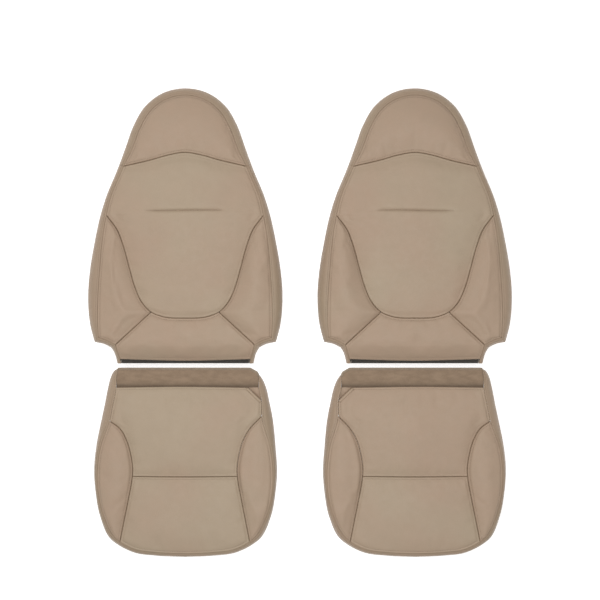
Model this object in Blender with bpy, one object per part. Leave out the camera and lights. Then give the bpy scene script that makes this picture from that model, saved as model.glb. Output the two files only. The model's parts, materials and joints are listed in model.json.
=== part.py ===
"""Two pairs of fitted leather seat covers, laid out face up: a back cover and a seat cover for each seat.

Every cover is sewn from foam-backed leather panels. A back cover is a bag with a mouth at its hem,
closed by a black flap and two hooked strips. A seat cover is open underneath, with hooked strips
round its hem, a tuck flap at its rear and a cut corner beside the belt buckle.
X runs across the set, Y from the seat fronts to the head ends, and Z up from the surface below.
"""

import math

import bmesh
import bpy
import numpy as np

MM = 0.001

# Overall sizes of one cover, in metres
BACK_WIDTH = 0.536
BACK_HEIGHT = 0.759
BACK_DEPTH = 0.074  # height of the face seam over the surface, at the bolsters
SEAT_WIDTH = 0.506
SEAT_LENGTH = 0.519
SEAT_DEPTH = 0.084  # height of the face seam over the surface, at the front
COVER_GAP = 0.096  # between the two back covers at their widest
ROW_GAP = 0.013  # between a back cover's hem and the seat cover below it

# Sheet thicknesses and the gap that stands for a sewn seam
LAMINATE = 0.005
BOXING_LAMINATE = 0.004
REAR_VINYL = 0.003
FLAP_VINYL = 0.002
TUCK_FABRIC = 0.0025
SEAM_GAP = 0.0003

# How far each face panel swells over its own seams
HEAD_CROWN = 0.016
CENTRE_CROWN = 0.012
BOLSTER_CROWN = 0.018
APRON_CROWN = 0.007
SEAT_CROWN = 0.012
SEAT_BOLSTER_CROWN = 0.015
CROWN_POWER = 0.7  # under 1 makes a panel fuller near its seams

# Boxing: how far its lower edge tucks in under the cover, and where a seat's boxing ends
REAR_TUCK = 0.006
HEM_TUCK = 0.005
HEM_HEIGHT = 0.012

# Mouth of a back cover
FLAP_HINGE_IN = 0.012  # hinge line, measured in from the hem end of the boxing
FLAP_HALF = 0.174
FLAP_REACH = 0.0185  # from the hinge line to the tip of the hooked strip
FLAP_REST = math.radians(50)  # below the horizontal
FLAP_CLEARANCE = 0.0016
FLAP_ROOT = 0.0015  # from the hinge line to the start of the flap
REAR_STRIP_HALF = 0.165
REAR_STRIP_TOP = 0.0115
REAR_STRIP_EDGE = 0.004

# Tuck flap of a seat cover
TUCK_HINGE_BACK = 0.0022  # hinge line, measured back from the rearmost point of the rear seam
TUCK_END_CLEARANCE = 0.0018
TUCK_REST = math.radians(14)  # below the horizontal
TUCK_CORNER = 0.022  # rounding at the buckle end

# Hooked plastic strips
STRIP_WALL = 0.002
STRIP_LEG = 0.013
STRIP_HOOK = 0.0075
STRIP_LIP = 0.004
SEAT_STRIP_LEG = 0.019

# Listing sleeves, the wires inside them, and the welt at the cut corner
SLEEVE_HEIGHT = 0.018
SLEEVE_WALL = 0.0012
WIRE_RADIUS = 0.0013
WIRE_CLEARANCE = 0.0003
WELT_RADIUS = 0.003
GUSSET_DROP = 0.002

SMOOTH_UNDER = math.radians(40)  # edges that fold less than this are shaded smooth

# Segments along the seams
PER_SPAN = 24
ACROSS = 8
LENS_ACROSS = 3
WIRE_SIDES = 6
WELT_SIDES = 8

# Back cover, right half, from the hem to the head. Each station is a point of the outline, as a share
# of half the width and of the height, then the way in from it to the face seam in millimetres, then
# the seam's height as a share of the depth.
BACK_STATIONS = (
    (0.701, 0.000, -10.0, 0, 0.54),
    (0.711, 0.016, -10.5, 0, 0.62),
    (0.731, 0.040, -10, 2, 0.80),
    (0.761, 0.058, -13, 8, 0.92),
    (0.828, 0.070, -9, 10, 0.945),
    (0.933, 0.078, -12, 12, 0.95),
    (0.978, 0.141, -22, 5, 0.97),
    (1.000, 0.244, -29, 2, 1.00),
    (0.978, 0.345, -28, -2, 1.00),
    (0.937, 0.432, -22, -4, 0.985),
    (0.869, 0.543, -17, -4, 0.95),
    (0.813, 0.607, -13, -5, 0.905),
    (0.711, 0.694, -12, -6, 0.865),
    (0.679, 0.723, -13, -6, 0.84),
    (0.619, 0.781, -18, -7, 0.825),
    (0.526, 0.870, -18, -10, 0.81),
    (0.418, 0.933, -14, -16, 0.81),
    (0.224, 0.984, -6, -20, 0.81),
    (0.000, 1.000, 0, -20, 0.81),
)
BACK_HEM, BACK_APRON, BACK_NOTCH, BACK_CORNER, BACK_APEX, BACK_HEAD, BACK_TOP = 0, 1, 3, 5, 10, 13, 18

# The curved seam under the centre panel, from the bolster's upper end to the middle of the cover, and
# the seam below the head panel: shares of half the width, the height and the depth.
BACK_U_SEAM = (
    (0.694, 0.4835, 0.91),
    (0.632, 0.4256, 0.90),
    (0.571, 0.3465, 0.90),
    (0.511, 0.274, 0.90),
    (0.440, 0.2207, 0.90),
    (0.347, 0.187, 0.90),
    (0.246, 0.172, 0.90),
    (0.000, 0.165, 0.91),
)
BACK_U_JUNCTION = 6
BACK_HEAD_SEAM = ((0.368, 0.736, 0.90), (0.164, 0.756, 0.93), (0.000, 0.765, 0.94))
BACK_HEM_MIDDLE = (0.000, 0.0105, 0.62)

# Seat cover. Both sides run from the rear end of the boxing to the middle of the front.
OUTER_STATIONS = (
    (-0.735, 0.999, 0, -8, 0.62),
    (-0.779, 0.985, 9, -11, 0.65),
    (-0.810, 0.958, 16, -11, 0.70),
    (-0.838, 0.906, 23, -3, 0.81),
    (-0.881, 0.800, 23, -5, 0.86),
    (-0.921, 0.709, 26, 7, 0.88),
    (-0.968, 0.590, 14, 0, 0.91),
    (-0.992, 0.462, 10.5, 0, 0.94),
    (-0.976, 0.347, 9, 0, 0.96),
    (-0.921, 0.208, 11, 5, 0.98),
    (-0.810, 0.094, 11, 9, 0.98),
    (-0.735, 0.066, 8, 10, 0.98),
    (-0.553, 0.023, 4, 11, 1.00),
    (-0.296, 0.006, 2, 11, 1.00),
    (0.000, 0.000, 0, 11, 1.00),
)
INNER_STATIONS = (
    (0.806, 0.965, -2.5, -1.5, 0.68),
    (0.830, 0.950, -7, -1, 0.70),
    (0.850, 0.934, -12, -2, 0.74),
    (0.877, 0.902, -19, -1, 0.81),
    (0.913, 0.829, -20, 0, 0.86),
    (0.949, 0.742, -29, 3, 0.88),
    (0.984, 0.578, -14, 0, 0.91),
    (1.000, 0.455, -11, 0, 0.94),
    (0.984, 0.347, -9, 0, 0.96),
    (0.929, 0.208, -11, 5, 0.98),
    (0.810, 0.094, -11, 9, 0.98),
    (0.735, 0.066, -8, 10, 0.98),
    (0.553, 0.023, -4, 11, 1.00),
    (0.296, 0.006, -2, 11, 1.00),
    (0.000, 0.000, 0, 11, 1.00),
)
SEAT_END, SEAT_REAR, SEAT_CUT, SEAT_APEX, SEAT_FRONT, SEAT_MIDDLE = 0, 3, 4, 5, 11, 14
OUTER_SEAM = (
    (0.704, 0.682),
    (0.636, 0.624),
    (0.587, 0.543),
    (0.567, 0.446),
    (0.570, 0.422),
    (0.607, 0.322),
    (0.655, 0.205),
)
SEAT_JUNCTION = 5
SEAT_SEAM_HEIGHT = (0.885, 0.89, 0.89, 0.89, 0.89, 0.92, 0.95)
SEAT_CROSS_MIDDLE = (0.000, 0.420, 0.93)
SEAT_REAR_MIDDLE = (0.000, 0.905, 0.83)
SEAT_CUT_START = (0.683, 0.8995, 0.82)

# The boxing's cross-section, from the face seam down: share of the inset, share of the height, and
# the angle that its thickness is measured at, from straight down to straight in.
BOXING_PROFILE = ((1.0, 1.0, 0), (0.6, 0.965, 22), (0.2, 0.82, 55), (0.0, 0.50, 90))

# Whole-set layout
COVER_SPACING = max(BACK_WIDTH, SEAT_WIDTH) + COVER_GAP
SET_LENGTH = SEAT_LENGTH + ROW_GAP + BACK_HEIGHT
SEAT_FRONT_Y = -SET_LENGTH / 2
BACK_HEM_Y = SEAT_FRONT_Y + SEAT_LENGTH + ROW_GAP


# Curves ----------------------------------------------------------------------------------------


def curve_through(points):
    """A smooth curve through the points, PER_SPAN steps for each span, as an array of points."""
    p = np.array(points, float)
    along = np.concatenate([[0], np.cumsum(np.linalg.norm(np.diff(p[:, :2], axis=0), axis=1))])
    slope = np.diff(p, axis=0) / np.diff(along)[:, None]
    tangent = np.concatenate([slope[:1], slope, slope[-1:]])
    weight = np.concatenate([[1], np.diff(along), [1]])
    before, after = weight[:-1, None], weight[1:, None]
    tangent = (tangent[:-1] * after + tangent[1:] * before) / (after + before)
    steps = []
    for i in range(len(p) - 1):
        for t in np.arange(PER_SPAN) / PER_SPAN:
            span = along[i + 1] - along[i]
            steps.append(
                p[i] * (1 + 2 * t) * (1 - t) ** 2
                + p[i + 1] * t * t * (3 - 2 * t)
                + tangent[i] * span * t * (1 - t) ** 2
                - tangent[i + 1] * span * t * t * (1 - t)
            )
    return np.array([*steps, p[-1]])


def divided(curve, segments):
    """The curve again, as that many segments of equal length in plan."""
    along = np.concatenate([[0], np.cumsum(np.linalg.norm(np.diff(curve[:, :2], axis=0), axis=1))])
    at = np.linspace(0, along[-1], segments + 1)
    return np.stack([np.interp(at, along, curve[:, k]) for k in range(curve.shape[1])], axis=1)


def cut(curve, first, last, segments):
    """The stretch of a curve between two of the points that it was drawn through."""
    return divided(curve[first * PER_SPAN : last * PER_SPAN + 1], segments)


def joined(*stretches):
    """Stretches end to end, with each shared point kept once."""
    return np.concatenate([stretches[0], *(s[1:] for s in stretches[1:])])


def mirrored(line):
    """A line on the other side of the centre plane, running the other way."""
    return (line * np.array([-1.0] + [1.0] * (line.shape[1] - 1)))[::-1]


def stations(rows, half_width, length, depth):
    """Station rows as outline x, y, seam x, y and seam height, in metres."""
    scale = np.array([half_width, length])
    out = []
    for across, along, inset_x, inset_y, height in rows:
        edge = np.array([across, along]) * scale
        out.append([*edge, *(edge + np.array([inset_x, inset_y]) * MM), height * depth])
    return np.array(out)


def seam_of(border):
    """The face seam of a stretch of border: x, y and height."""
    return border[:, 2:5]


# Surfaces --------------------------------------------------------------------------------------


def swell(u, v):
    """How far up a panel's crown a point is, from 0 at a seam to 1 in the middle."""
    return (math.sin(math.pi * u) * math.sin(math.pi * v)) ** CROWN_POWER if 0 < u < 1 and 0 < v < 1 else 0.0


def patch(near, far, left, right, crown):
    """A grid between four edges. near and far run left to right; left and right run near to far."""
    rows, columns = len(left) - 1, len(near) - 1
    grid = np.zeros((rows + 1, columns + 1, 3))
    for i in range(rows + 1):
        for j in range(columns + 1):
            v, u = i / rows, j / columns
            corners = (
                (1 - u) * (1 - v) * near[0] + u * (1 - v) * near[-1] + (1 - u) * v * far[0] + u * v * far[-1]
            )
            grid[i, j] = (1 - v) * near[j] + v * far[j] + (1 - u) * left[i] + u * right[i] - corners
            grid[i, j, 2] += crown * swell(u, v)
    return grid


def lens(one, other, across, crown):
    """A grid between two edges that meet at both ends."""
    rows = len(one) - 1
    grid = np.zeros((rows + 1, across + 1, 3))
    for i in range(rows + 1):
        for j in range(across + 1):
            u = j / across
            grid[i, j] = (1 - u) * one[i] + u * other[i]
            grid[i, j, 2] += crown * swell(u, i / rows)
    return grid


def drawn_back(grid, gap=SEAM_GAP / 2):
    """The grid with each of its edges drawn back from the seam by half the seam gap."""
    moved = grid.copy()
    for edge, inner in ((0, 1), (-1, -2)):
        for out, source, line, step in (
            (moved, grid, (edge, slice(None)), (inner, slice(None))),
            (moved, grid, (slice(None), edge), (slice(None), inner)),
        ):
            way = source[step] - source[line]
            if np.ptp(source[line], axis=0).max() < MM * 1e-3:
                way = np.broadcast_to(way.mean(axis=0), way.shape)
            size = np.maximum(np.linalg.norm(way, axis=1), 1e-9)[:, None]
            out[line] += gap * way / size
    return moved


def boxing_grids(border, low_in, low_height):
    """Outer and inner surfaces of a boxing strip along a stretch of border."""
    outer, inner = [], []
    for edge_x, edge_y, seam_x, seam_y, height in border:
        edge, inset = np.array([edge_x, edge_y]), np.array([seam_x - edge_x, seam_y - edge_y])
        way_in = inset / np.linalg.norm(inset)
        out_row, in_row = [], []
        for share, rise, angle in BOXING_PROFILE:
            place = np.array([*(edge + inset * share), height * rise])
            turn = math.radians(angle)
            out_row.append(place)
            in_row.append(
                place + BOXING_LAMINATE * np.array([*(way_in * math.sin(turn)), -math.cos(turn)])
            )
        for row, extra in ((out_row, 0), (in_row, BOXING_LAMINATE)):
            row.append(np.array([*(edge + way_in * (low_in + extra)), low_height]))
        outer.append(out_row)
        inner.append(in_row)
    return np.array(outer), np.array(inner)


def ring_path(line, profile):
    """A closed cross-section carried along a line: sideways offset, then height over the line."""
    way = np.gradient(line[:, :2], axis=0)
    way /= np.linalg.norm(way, axis=1)[:, None]
    side = np.stack([-way[:, 1], way[:, 0]], axis=1)
    return [
        [np.array([*(point[:2] + side[i] * offset), point[2] + rise]) for offset, rise in profile]
        for i, point in enumerate(line)
    ]


def round_profile(radius, sides, rise=0.0):
    turns = [2 * math.pi * k / sides for k in range(sides)]
    return [(radius * math.cos(a), rise + radius * math.sin(a)) for a in turns]


# Objects ---------------------------------------------------------------------------------------


def clear_scene():
    for obj in list(bpy.data.objects):
        bpy.data.objects.remove(obj, do_unlink=True)


def material(name, colour, roughness):
    made = bpy.data.materials.new(name)
    made.use_nodes = True
    shader = made.node_tree.nodes["Principled BSDF"]
    shader.inputs["Base Color"].default_value = (*colour, 1)
    shader.inputs["Roughness"].default_value = roughness
    made.diffuse_color = (*colour, 1)
    return made


def make_materials():
    return {
        "leather": material("leather", (0.43, 0.33, 0.24), 0.5),
        "vinyl": material("vinyl", (0.40, 0.31, 0.22), 0.55),
        "tuck_fabric": material("tuck_fabric", (0.29, 0.21, 0.14), 0.95),
        "flap_fabric": material("flap_fabric", (0.03, 0.03, 0.03), 0.8),
        "strip_plastic": material("strip_plastic", (0.02, 0.02, 0.02), 0.4),
        "sleeve_fabric": material("sleeve_fabric", (0.75, 0.74, 0.70), 0.9),
        "wire_steel": material("wire_steel", (0.50, 0.50, 0.52), 0.35),
    }


class Cover:
    """One cover: where it lies, which way round it is, and the body that a piece belongs to."""

    def __init__(self, name, x, y, side, materials):
        self.name, self.side, self.materials = name, side, materials
        self.place = self.empty(name, (x, y, 0), None)
        self.holder = self.place
        self.pivot = np.zeros(3)

    def empty(self, name, location, parent):
        made = bpy.data.objects.new(name + "_place", None)
        made.location = location
        made.parent = parent
        bpy.context.scene.collection.objects.link(made)
        return made

    def hinge(self, name, y, z):
        """Pieces made after this hang on a hinge line along X."""
        self.pivot = np.array([0.0, y, z])
        self.holder = self.empty(f"{self.name}_{name}", self.pivot, self.place)

    def add(self, piece, bm, slot):
        bmesh.ops.remove_doubles(bm, verts=bm.verts, dist=1e-6)
        bmesh.ops.dissolve_degenerate(bm, edges=bm.edges, dist=1e-7)
        bmesh.ops.recalc_face_normals(bm, faces=bm.faces)
        mesh = bpy.data.meshes.new(f"{self.name}_{piece}")
        bm.to_mesh(mesh)
        bm.free()
        mesh.shade_smooth()
        mesh.set_sharp_from_angle(angle=SMOOTH_UNDER)
        mesh.materials.append(self.materials[slot])
        made = bpy.data.objects.new(f"{self.name}_{piece}", mesh)
        made.parent = self.holder
        bpy.context.scene.collection.objects.link(made)
        return made

    def points(self, bm, rows):
        """New vertices for rows of points, on this cover's own side and about its present pivot."""
        flip = np.array([self.side, 1, 1])
        return [[bm.verts.new((np.asarray(p) - self.pivot) * flip) for p in row] for row in rows]

    def shell(self, piece, outer, inner, slot):
        """A closed sheet between two grids of the same size."""
        bm = bmesh.new()
        top, bottom = self.points(bm, outer), self.points(bm, inner)
        rows, columns = len(top) - 1, len(top[0]) - 1
        for i in range(rows):
            for j in range(columns):
                for g in (top, bottom):
                    bm.faces.new((g[i][j], g[i][j + 1], g[i + 1][j + 1], g[i + 1][j]))
        rim = [(0, j) for j in range(columns)] + [(i, columns) for i in range(rows)]
        rim += [(rows, j) for j in range(columns, 0, -1)] + [(i, 0) for i in range(rows, 0, -1)]
        for (a, b), (c, d) in zip(rim, rim[1:] + rim[:1]):
            bm.faces.new((top[a][b], top[c][d], bottom[c][d], bottom[a][b]))
        return self.add(piece, bm, slot)

    def panel(self, piece, grid, slot="leather", thickness=LAMINATE):
        top = drawn_back(grid)
        return self.shell(piece, top, top - np.array([0, 0, thickness]), slot)

    def boxing(self, piece, border, low_in, low_height):
        outer, inner = boxing_grids(border, low_in, low_height)
        return self.shell(piece, drawn_back(outer), drawn_back(inner), "leather")

    def sweep(self, piece, rings, slot):
        """A closed cross-section carried through rings, with flat ends."""
        bm = bmesh.new()
        made = self.points(bm, rings)
        for near, far in zip(made, made[1:]):
            for k in range(len(near)):
                n = (k + 1) % len(near)
                bm.faces.new((near[k], near[n], far[n], far[k]))
        bm.faces.new(made[0])
        bm.faces.new(made[-1])
        return self.add(piece, bm, slot)

    def bar(self, piece, half_length, profile, slot):
        """A straight bar along X, from -half_length to half_length, with a cross-section in Y and Z."""
        rings = [[np.array([x, y, z]) for y, z in profile] for x in (-half_length, half_length)]
        return self.sweep(piece, rings, slot)

    def plate(self, piece, outline, low, high, slot):
        """A level sheet with the given outline."""
        bm = bmesh.new()
        rings = self.points(bm, [[(x, y, z) for x, y in outline] for z in (low, high)])
        for ring in rings:
            bm.faces.new(ring)
        for k in range(len(outline)):
            n = (k + 1) % len(outline)
            bm.faces.new((rings[0][k], rings[0][n], rings[1][n], rings[1][k]))
        return self.add(piece, bm, slot)

    def listing(self, seam):
        """The folded fabric sleeve under a seam, and the wire that lies in its fold."""
        half = WIRE_RADIUS + WIRE_CLEARANCE + SLEEVE_WALL
        slot = half - SLEEVE_WALL
        top = -LAMINATE - SEAM_GAP
        low = top - SLEEVE_HEIGHT
        fold = (
            (-half, top), (-half, low), (half, low), (half, top),
            (slot, top), (slot, low + SLEEVE_WALL), (-slot, low + SLEEVE_WALL), (-slot, top),
        )
        self.sweep("listing_sleeve", ring_path(seam, fold), "sleeve_fabric")
        wire_height = low + SLEEVE_WALL + WIRE_CLEARANCE + WIRE_RADIUS
        wire = round_profile(WIRE_RADIUS, WIRE_SIDES, wire_height)
        self.sweep("listing_wire", ring_path(seam, wire), "wire_steel")


# Back cover ------------------------------------------------------------------------------------


def back_lines():
    """Every seam line of a back cover, as named polylines."""
    half = BACK_WIDTH / 2
    rows = stations(BACK_STATIONS, half, BACK_HEIGHT, BACK_DEPTH)
    scale = np.array([half, BACK_HEIGHT, BACK_DEPTH])
    hem = curve_through(rows[: BACK_NOTCH + 1])
    notch = curve_through(rows[BACK_NOTCH : BACK_CORNER + 1])
    side = curve_through(np.concatenate([rows[BACK_CORNER:], mirror_rows(rows[BACK_HEAD:BACK_TOP])]))
    line = {
        "hem_end": cut(hem, BACK_HEM, BACK_APRON, 1),
        "apron_side": cut(hem, BACK_APRON, BACK_NOTCH, 2),
        "notch": cut(notch, 0, BACK_CORNER - BACK_NOTCH, 2),
        "bolster_side": cut(side, 0, BACK_APEX - BACK_CORNER, 6),
        "waist": cut(side, BACK_APEX - BACK_CORNER, BACK_HEAD - BACK_CORNER, 4),
    }
    head_half = cut(side, BACK_HEAD - BACK_CORNER, BACK_TOP - BACK_CORNER, ACROSS // 2)
    line["head"] = joined(head_half, mirror_rows(head_half))
    u_half = np.array(BACK_U_SEAM) * scale
    u_right = np.concatenate([seam_of(rows)[BACK_APEX : BACK_APEX + 1], u_half])
    u_curve = curve_through(joined(u_right, mirrored(u_right)))
    line["u_side"] = cut(u_curve, 0, BACK_U_JUNCTION, 6)
    line["u_middle"] = cut(u_curve, BACK_U_JUNCTION, 2 * len(BACK_U_SEAM) - BACK_U_JUNCTION, ACROSS)
    head_seam = np.concatenate([seam_of(rows)[BACK_HEAD : BACK_HEAD + 1], np.array(BACK_HEAD_SEAM) * scale])
    head_curve = curve_through(joined(head_seam, mirrored(head_seam)))
    line["head_seam"] = divided(head_curve, ACROSS)
    corner = seam_of(rows)[BACK_NOTCH]
    line["diagonal"] = np.linspace(line["u_side"][-1], corner, 3)
    apron_corner = seam_of(rows)[BACK_APRON]
    hem_points = [apron_corner, np.array(BACK_HEM_MIDDLE) * scale, apron_corner * np.array([-1, 1, 1])]
    line["hem"] = divided(curve_through(hem_points), ACROSS)
    return line


def mirror_rows(rows):
    """Station rows on the other side of the centre plane, running the other way."""
    return (rows * np.array([-1, 1, -1, 1, 1]))[::-1]


def back_faces(cover, line):
    right = joined(seam_of(line["waist"])[::-1], line["u_side"])[::-1]
    left = right * np.array([-1, 1, 1])
    near, far = line["u_middle"][::-1], line["head_seam"][::-1]
    cover.panel("centre_panel", patch(near, far, left, right, CENTRE_CROWN))
    cover.panel("head_panel", lens(line["head_seam"], seam_of(line["head"]), LENS_ACROSS, HEAD_CROWN))
    outer = seam_of(joined(line["notch"], line["bolster_side"]))
    inner = joined(line["u_side"], line["diagonal"])[::-1]
    bolster = lens(inner, outer, LENS_ACROSS, BOLSTER_CROWN)
    cover.panel("right_bolster", bolster)
    cover.panel("left_bolster", bolster * np.array([-1, 1, 1]))
    apron_right = joined(seam_of(line["apron_side"]), line["diagonal"][::-1])
    apron_left = apron_right * np.array([-1, 1, 1])
    cover.panel(
        "apron_panel", patch(line["hem"][::-1], line["u_middle"][::-1], apron_left, apron_right, APRON_CROWN)
    )


def back_shell(cover, line):
    side = joined(line["hem_end"], line["apron_side"], line["notch"], line["bolster_side"], line["waist"])
    cover.boxing("right_boxing", side, REAR_TUCK, 0)
    cover.boxing("left_boxing", mirror_rows(side), REAR_TUCK, 0)
    cover.boxing("head_boxing", line["head"], REAR_TUCK, 0)
    border = joined(side, line["head"], mirror_rows(side))
    way_in = border[:, 2:4] - border[:, :2]
    way_in /= np.linalg.norm(way_in, axis=1)[:, None]
    outline = border[:, :2] + way_in * (REAR_TUCK + BOXING_LAMINATE + SEAM_GAP)
    cover.plate("rear_panel", outline, 0, REAR_VINYL, "vinyl")


def back_mouth(cover, line):
    """The closing flap with its hooked strip, and the strip on the rear panel that it hooks on to."""
    low = REAR_VINYL + SEAM_GAP
    edge, wall, top = REAR_STRIP_EDGE, STRIP_WALL, REAR_STRIP_TOP
    cover.bar(
        "rear_hook_strip",
        REAR_STRIP_HALF,
        (
            (edge, low), (edge + STRIP_LEG, low), (edge + STRIP_LEG, low + wall), (edge + wall, low + wall),
            (edge + wall, top - wall), (edge + STRIP_HOOK, top - wall), (edge + STRIP_HOOK, top), (edge, top),
        ),
        "strip_plastic",
    )
    hinge_height = line["hem"][:, 2].min() - LAMINATE - FLAP_CLEARANCE
    cover.hinge("closing_flap", FLAP_HINGE_IN, hinge_height)
    flap_end = FLAP_REACH - STRIP_WALL - SEAM_GAP
    half = FLAP_VINYL / 2
    flap = ((FLAP_ROOT, -half), (flap_end, -half), (flap_end, half), (FLAP_ROOT, half))
    cover.bar("closing_flap", FLAP_HALF, tilted(cover, flap, FLAP_REST), "flap_fabric")
    cover.bar("flap_hook_strip", FLAP_HALF, tilted(cover, hook(half, FLAP_REACH), FLAP_REST), "strip_plastic")


def hook(half, reach):
    """A hooked strip sewn under a flap, in the flap's own reach and height over its middle."""
    near = -half - SEAM_GAP
    leg, tip, deep = near - STRIP_WALL, reach - STRIP_WALL, near - STRIP_HOOK
    return (
        (reach - STRIP_LEG, near), (reach, near), (reach, deep), (tip - STRIP_LIP, deep),
        (tip - STRIP_LIP, deep + STRIP_WALL), (tip, deep + STRIP_WALL), (tip, leg), (reach - STRIP_LEG, leg),
    )


def tilted(cover, profile, angle, way=-1):
    """A flap's cross-section about the cover's hinge, tilted down, reaching towards -Y or +Y."""
    out = []
    for reach, rise in profile:
        y = way * (reach * math.cos(angle) + rise * math.sin(angle))
        z = -reach * math.sin(angle) + rise * math.cos(angle)
        out.append((cover.pivot[1] + y, cover.pivot[2] + z))
    return out


def build_back(cover):
    line = back_lines()
    back_faces(cover, line)
    back_shell(cover, line)
    cover.listing(joined(line["u_side"][1:], line["u_middle"], mirrored(line["u_side"])[:-1]))
    back_mouth(cover, line)


# Seat cover ------------------------------------------------------------------------------------


def seat_side(rows, sign, cut_point):
    """The seam lines of one side of a seat cover; sign is -1 on the outer side and 1 by the buckle."""
    border = curve_through(rows)
    scale = np.array([sign * SEAT_WIDTH / 2, SEAT_LENGTH, SEAT_DEPTH])
    apex, front = seam_of(rows)[SEAT_APEX], seam_of(rows)[SEAT_FRONT]
    middle = [np.array([*place, height]) * scale for place, height in zip(OUTER_SEAM, SEAT_SEAM_HEIGHT)]
    seam = curve_through([apex, *middle, front])
    line = {
        "ear": cut(border, SEAT_END, SEAT_REAR, 3),
        "shoulder": cut(border, SEAT_REAR, SEAT_CUT, 1),
        "waist": cut(border, SEAT_CUT, SEAT_APEX, 1),
        "bolster_side": cut(border, SEAT_APEX, SEAT_FRONT, 8),
        "front": cut(border, SEAT_FRONT, SEAT_MIDDLE, ACROSS // 2),
        "upper": cut(seam, 0, SEAT_JUNCTION, 5),
        "lower": cut(seam, SEAT_JUNCTION, len(OUTER_SEAM) + 1, 3),
    }
    line["edge"] = joined(seam_of(line["shoulder"]), seam_of(line["waist"]))
    if cut_point is not None:
        line["edge"] = joined(np.array([cut_point, seam_of(line["waist"])[0]]), seam_of(line["waist"]))
    return line


def seat_lines():
    half = SEAT_WIDTH / 2
    scale = np.array([half, SEAT_LENGTH, SEAT_DEPTH])
    outer_rows = stations(OUTER_STATIONS, half, SEAT_LENGTH, SEAT_DEPTH)
    inner_rows = stations(INNER_STATIONS, half, SEAT_LENGTH, SEAT_DEPTH)
    cut_point = np.array(SEAT_CUT_START) * scale
    outer = seat_side(outer_rows, -1, None)
    inner = seat_side(inner_rows, 1, cut_point)
    rear = curve_through([outer["edge"][0], np.array(SEAT_REAR_MIDDLE) * scale, cut_point])
    cross = curve_through([outer["upper"][-1], np.array(SEAT_CROSS_MIDDLE) * scale, inner["upper"][-1]])
    across = {
        "rear": divided(rear, ACROSS),
        "cross": divided(cross, ACROSS),
        "front": joined(seam_of(outer["front"]), seam_of(inner["front"])[::-1]),
    }
    return outer, inner, across


def seat_faces(cover, outer, inner, across):
    left, right = joined(outer["edge"], outer["upper"])[::-1], joined(inner["edge"], inner["upper"])[::-1]
    cover.panel("centre_panel", patch(across["cross"], across["rear"], left, right, SEAT_CROWN))
    left, right = outer["lower"][::-1], inner["lower"][::-1]
    cover.panel("front_panel", patch(across["front"], across["cross"], left, right, SEAT_CROWN))
    for side, name in ((outer, "outer_bolster"), (inner, "inner_bolster")):
        seam = joined(side["upper"], side["lower"])
        cover.panel(name, lens(seam, seam_of(side["bolster_side"]), LENS_ACROSS, SEAT_BOLSTER_CROWN))
    drop = np.array([0, 0, GUSSET_DROP])
    edge = seam_of(inner["shoulder"]) - drop
    gusset = lens(np.array([edge[0], edge[1]]), np.array([inner["edge"][0] - drop, edge[1]]), 1, 0)
    cover.panel("corner_gusset", gusset)
    welt = inner["edge"] + np.array([0, 0, WELT_RADIUS + SEAM_GAP])
    cover.sweep("corner_welt", ring_path(welt, round_profile(WELT_RADIUS, WELT_SIDES)), "leather")


def seat_shell(cover, outer, inner):
    sides = {}
    for side, name in ((outer, "outer"), (inner, "inner")):
        border = joined(side["ear"], side["shoulder"], side["waist"], side["bolster_side"])
        cover.boxing(f"{name}_boxing", border, HEM_TUCK, HEM_HEIGHT)
        sides[name] = side["bolster_side"]
    sides["front"] = joined(outer["front"], inner["front"][::-1])
    cover.boxing("front_boxing", sides["front"], HEM_TUCK, HEM_HEIGHT)
    for name, border in sides.items():
        cover.sweep(f"{name}_hook_strip", hem_strip(border[1:-1]), "strip_plastic")


def hem_strip(border):
    """Cross-sections of the hooked strip inside the boxing's hem, along a stretch of border."""
    start = HEM_TUCK + BOXING_LAMINATE + SEAM_GAP
    wall, deep = start + STRIP_WALL, start + STRIP_HOOK
    profile = (
        (start, 0), (deep, 0), (deep, STRIP_WALL + STRIP_LIP), (deep - STRIP_WALL, STRIP_WALL + STRIP_LIP),
        (deep - STRIP_WALL, STRIP_WALL), (wall, STRIP_WALL), (wall, SEAT_STRIP_LEG), (start, SEAT_STRIP_LEG),
    )
    rings = []
    for edge_x, edge_y, seam_x, seam_y, _ in border:
        way_in = np.array([seam_x - edge_x, seam_y - edge_y])
        way_in /= np.linalg.norm(way_in)
        rings.append([np.array([edge_x + way_in[0] * a, edge_y + way_in[1] * a, z]) for a, z in profile])
    return rings


def seat_tuck_flap(cover, outer, inner, rear_seam):
    """The tuck flap behind the rear seam, with the hooked strip under its rear edge."""
    hinge_height = rear_seam[:, 2].min() - LAMINATE
    cover.hinge("tuck_flap", rear_seam[:, 1].max() + TUCK_HINGE_BACK, hinge_height)
    reach = (SEAT_LENGTH - cover.pivot[1]) / math.cos(TUCK_REST)
    left = seam_of(outer["ear"])[:, 0].max() + TUCK_END_CLEARANCE
    right = seam_of(inner["ear"])[:, 0].min() - TUCK_END_CLEARANCE
    turns = [math.radians(a) for a in (0, 30, 60, 90)]
    rounded = [
        (right - TUCK_CORNER * (1 - math.cos(a)), reach - TUCK_CORNER * (1 - math.sin(a))) for a in turns
    ]
    outline = [(left, 0), (right, 0), *rounded, (left, reach)]
    rings = []
    for rise in (-TUCK_FABRIC / 2, TUCK_FABRIC / 2):
        ring = []
        for x, along in outline:
            y, z = tilted(cover, [(along, rise)], TUCK_REST, 1)[0]
            ring.append((x, y, z))
        rings.append(ring)
    cover.sweep("tuck_flap", rings, "tuck_fabric")
    strip = tilted(cover, hook(TUCK_FABRIC / 2, reach), TUCK_REST, 1)
    ends = (left, right - TUCK_CORNER)
    cover.sweep("tuck_hook_strip", [[(x, y, z) for y, z in strip] for x in ends], "strip_plastic")


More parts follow.
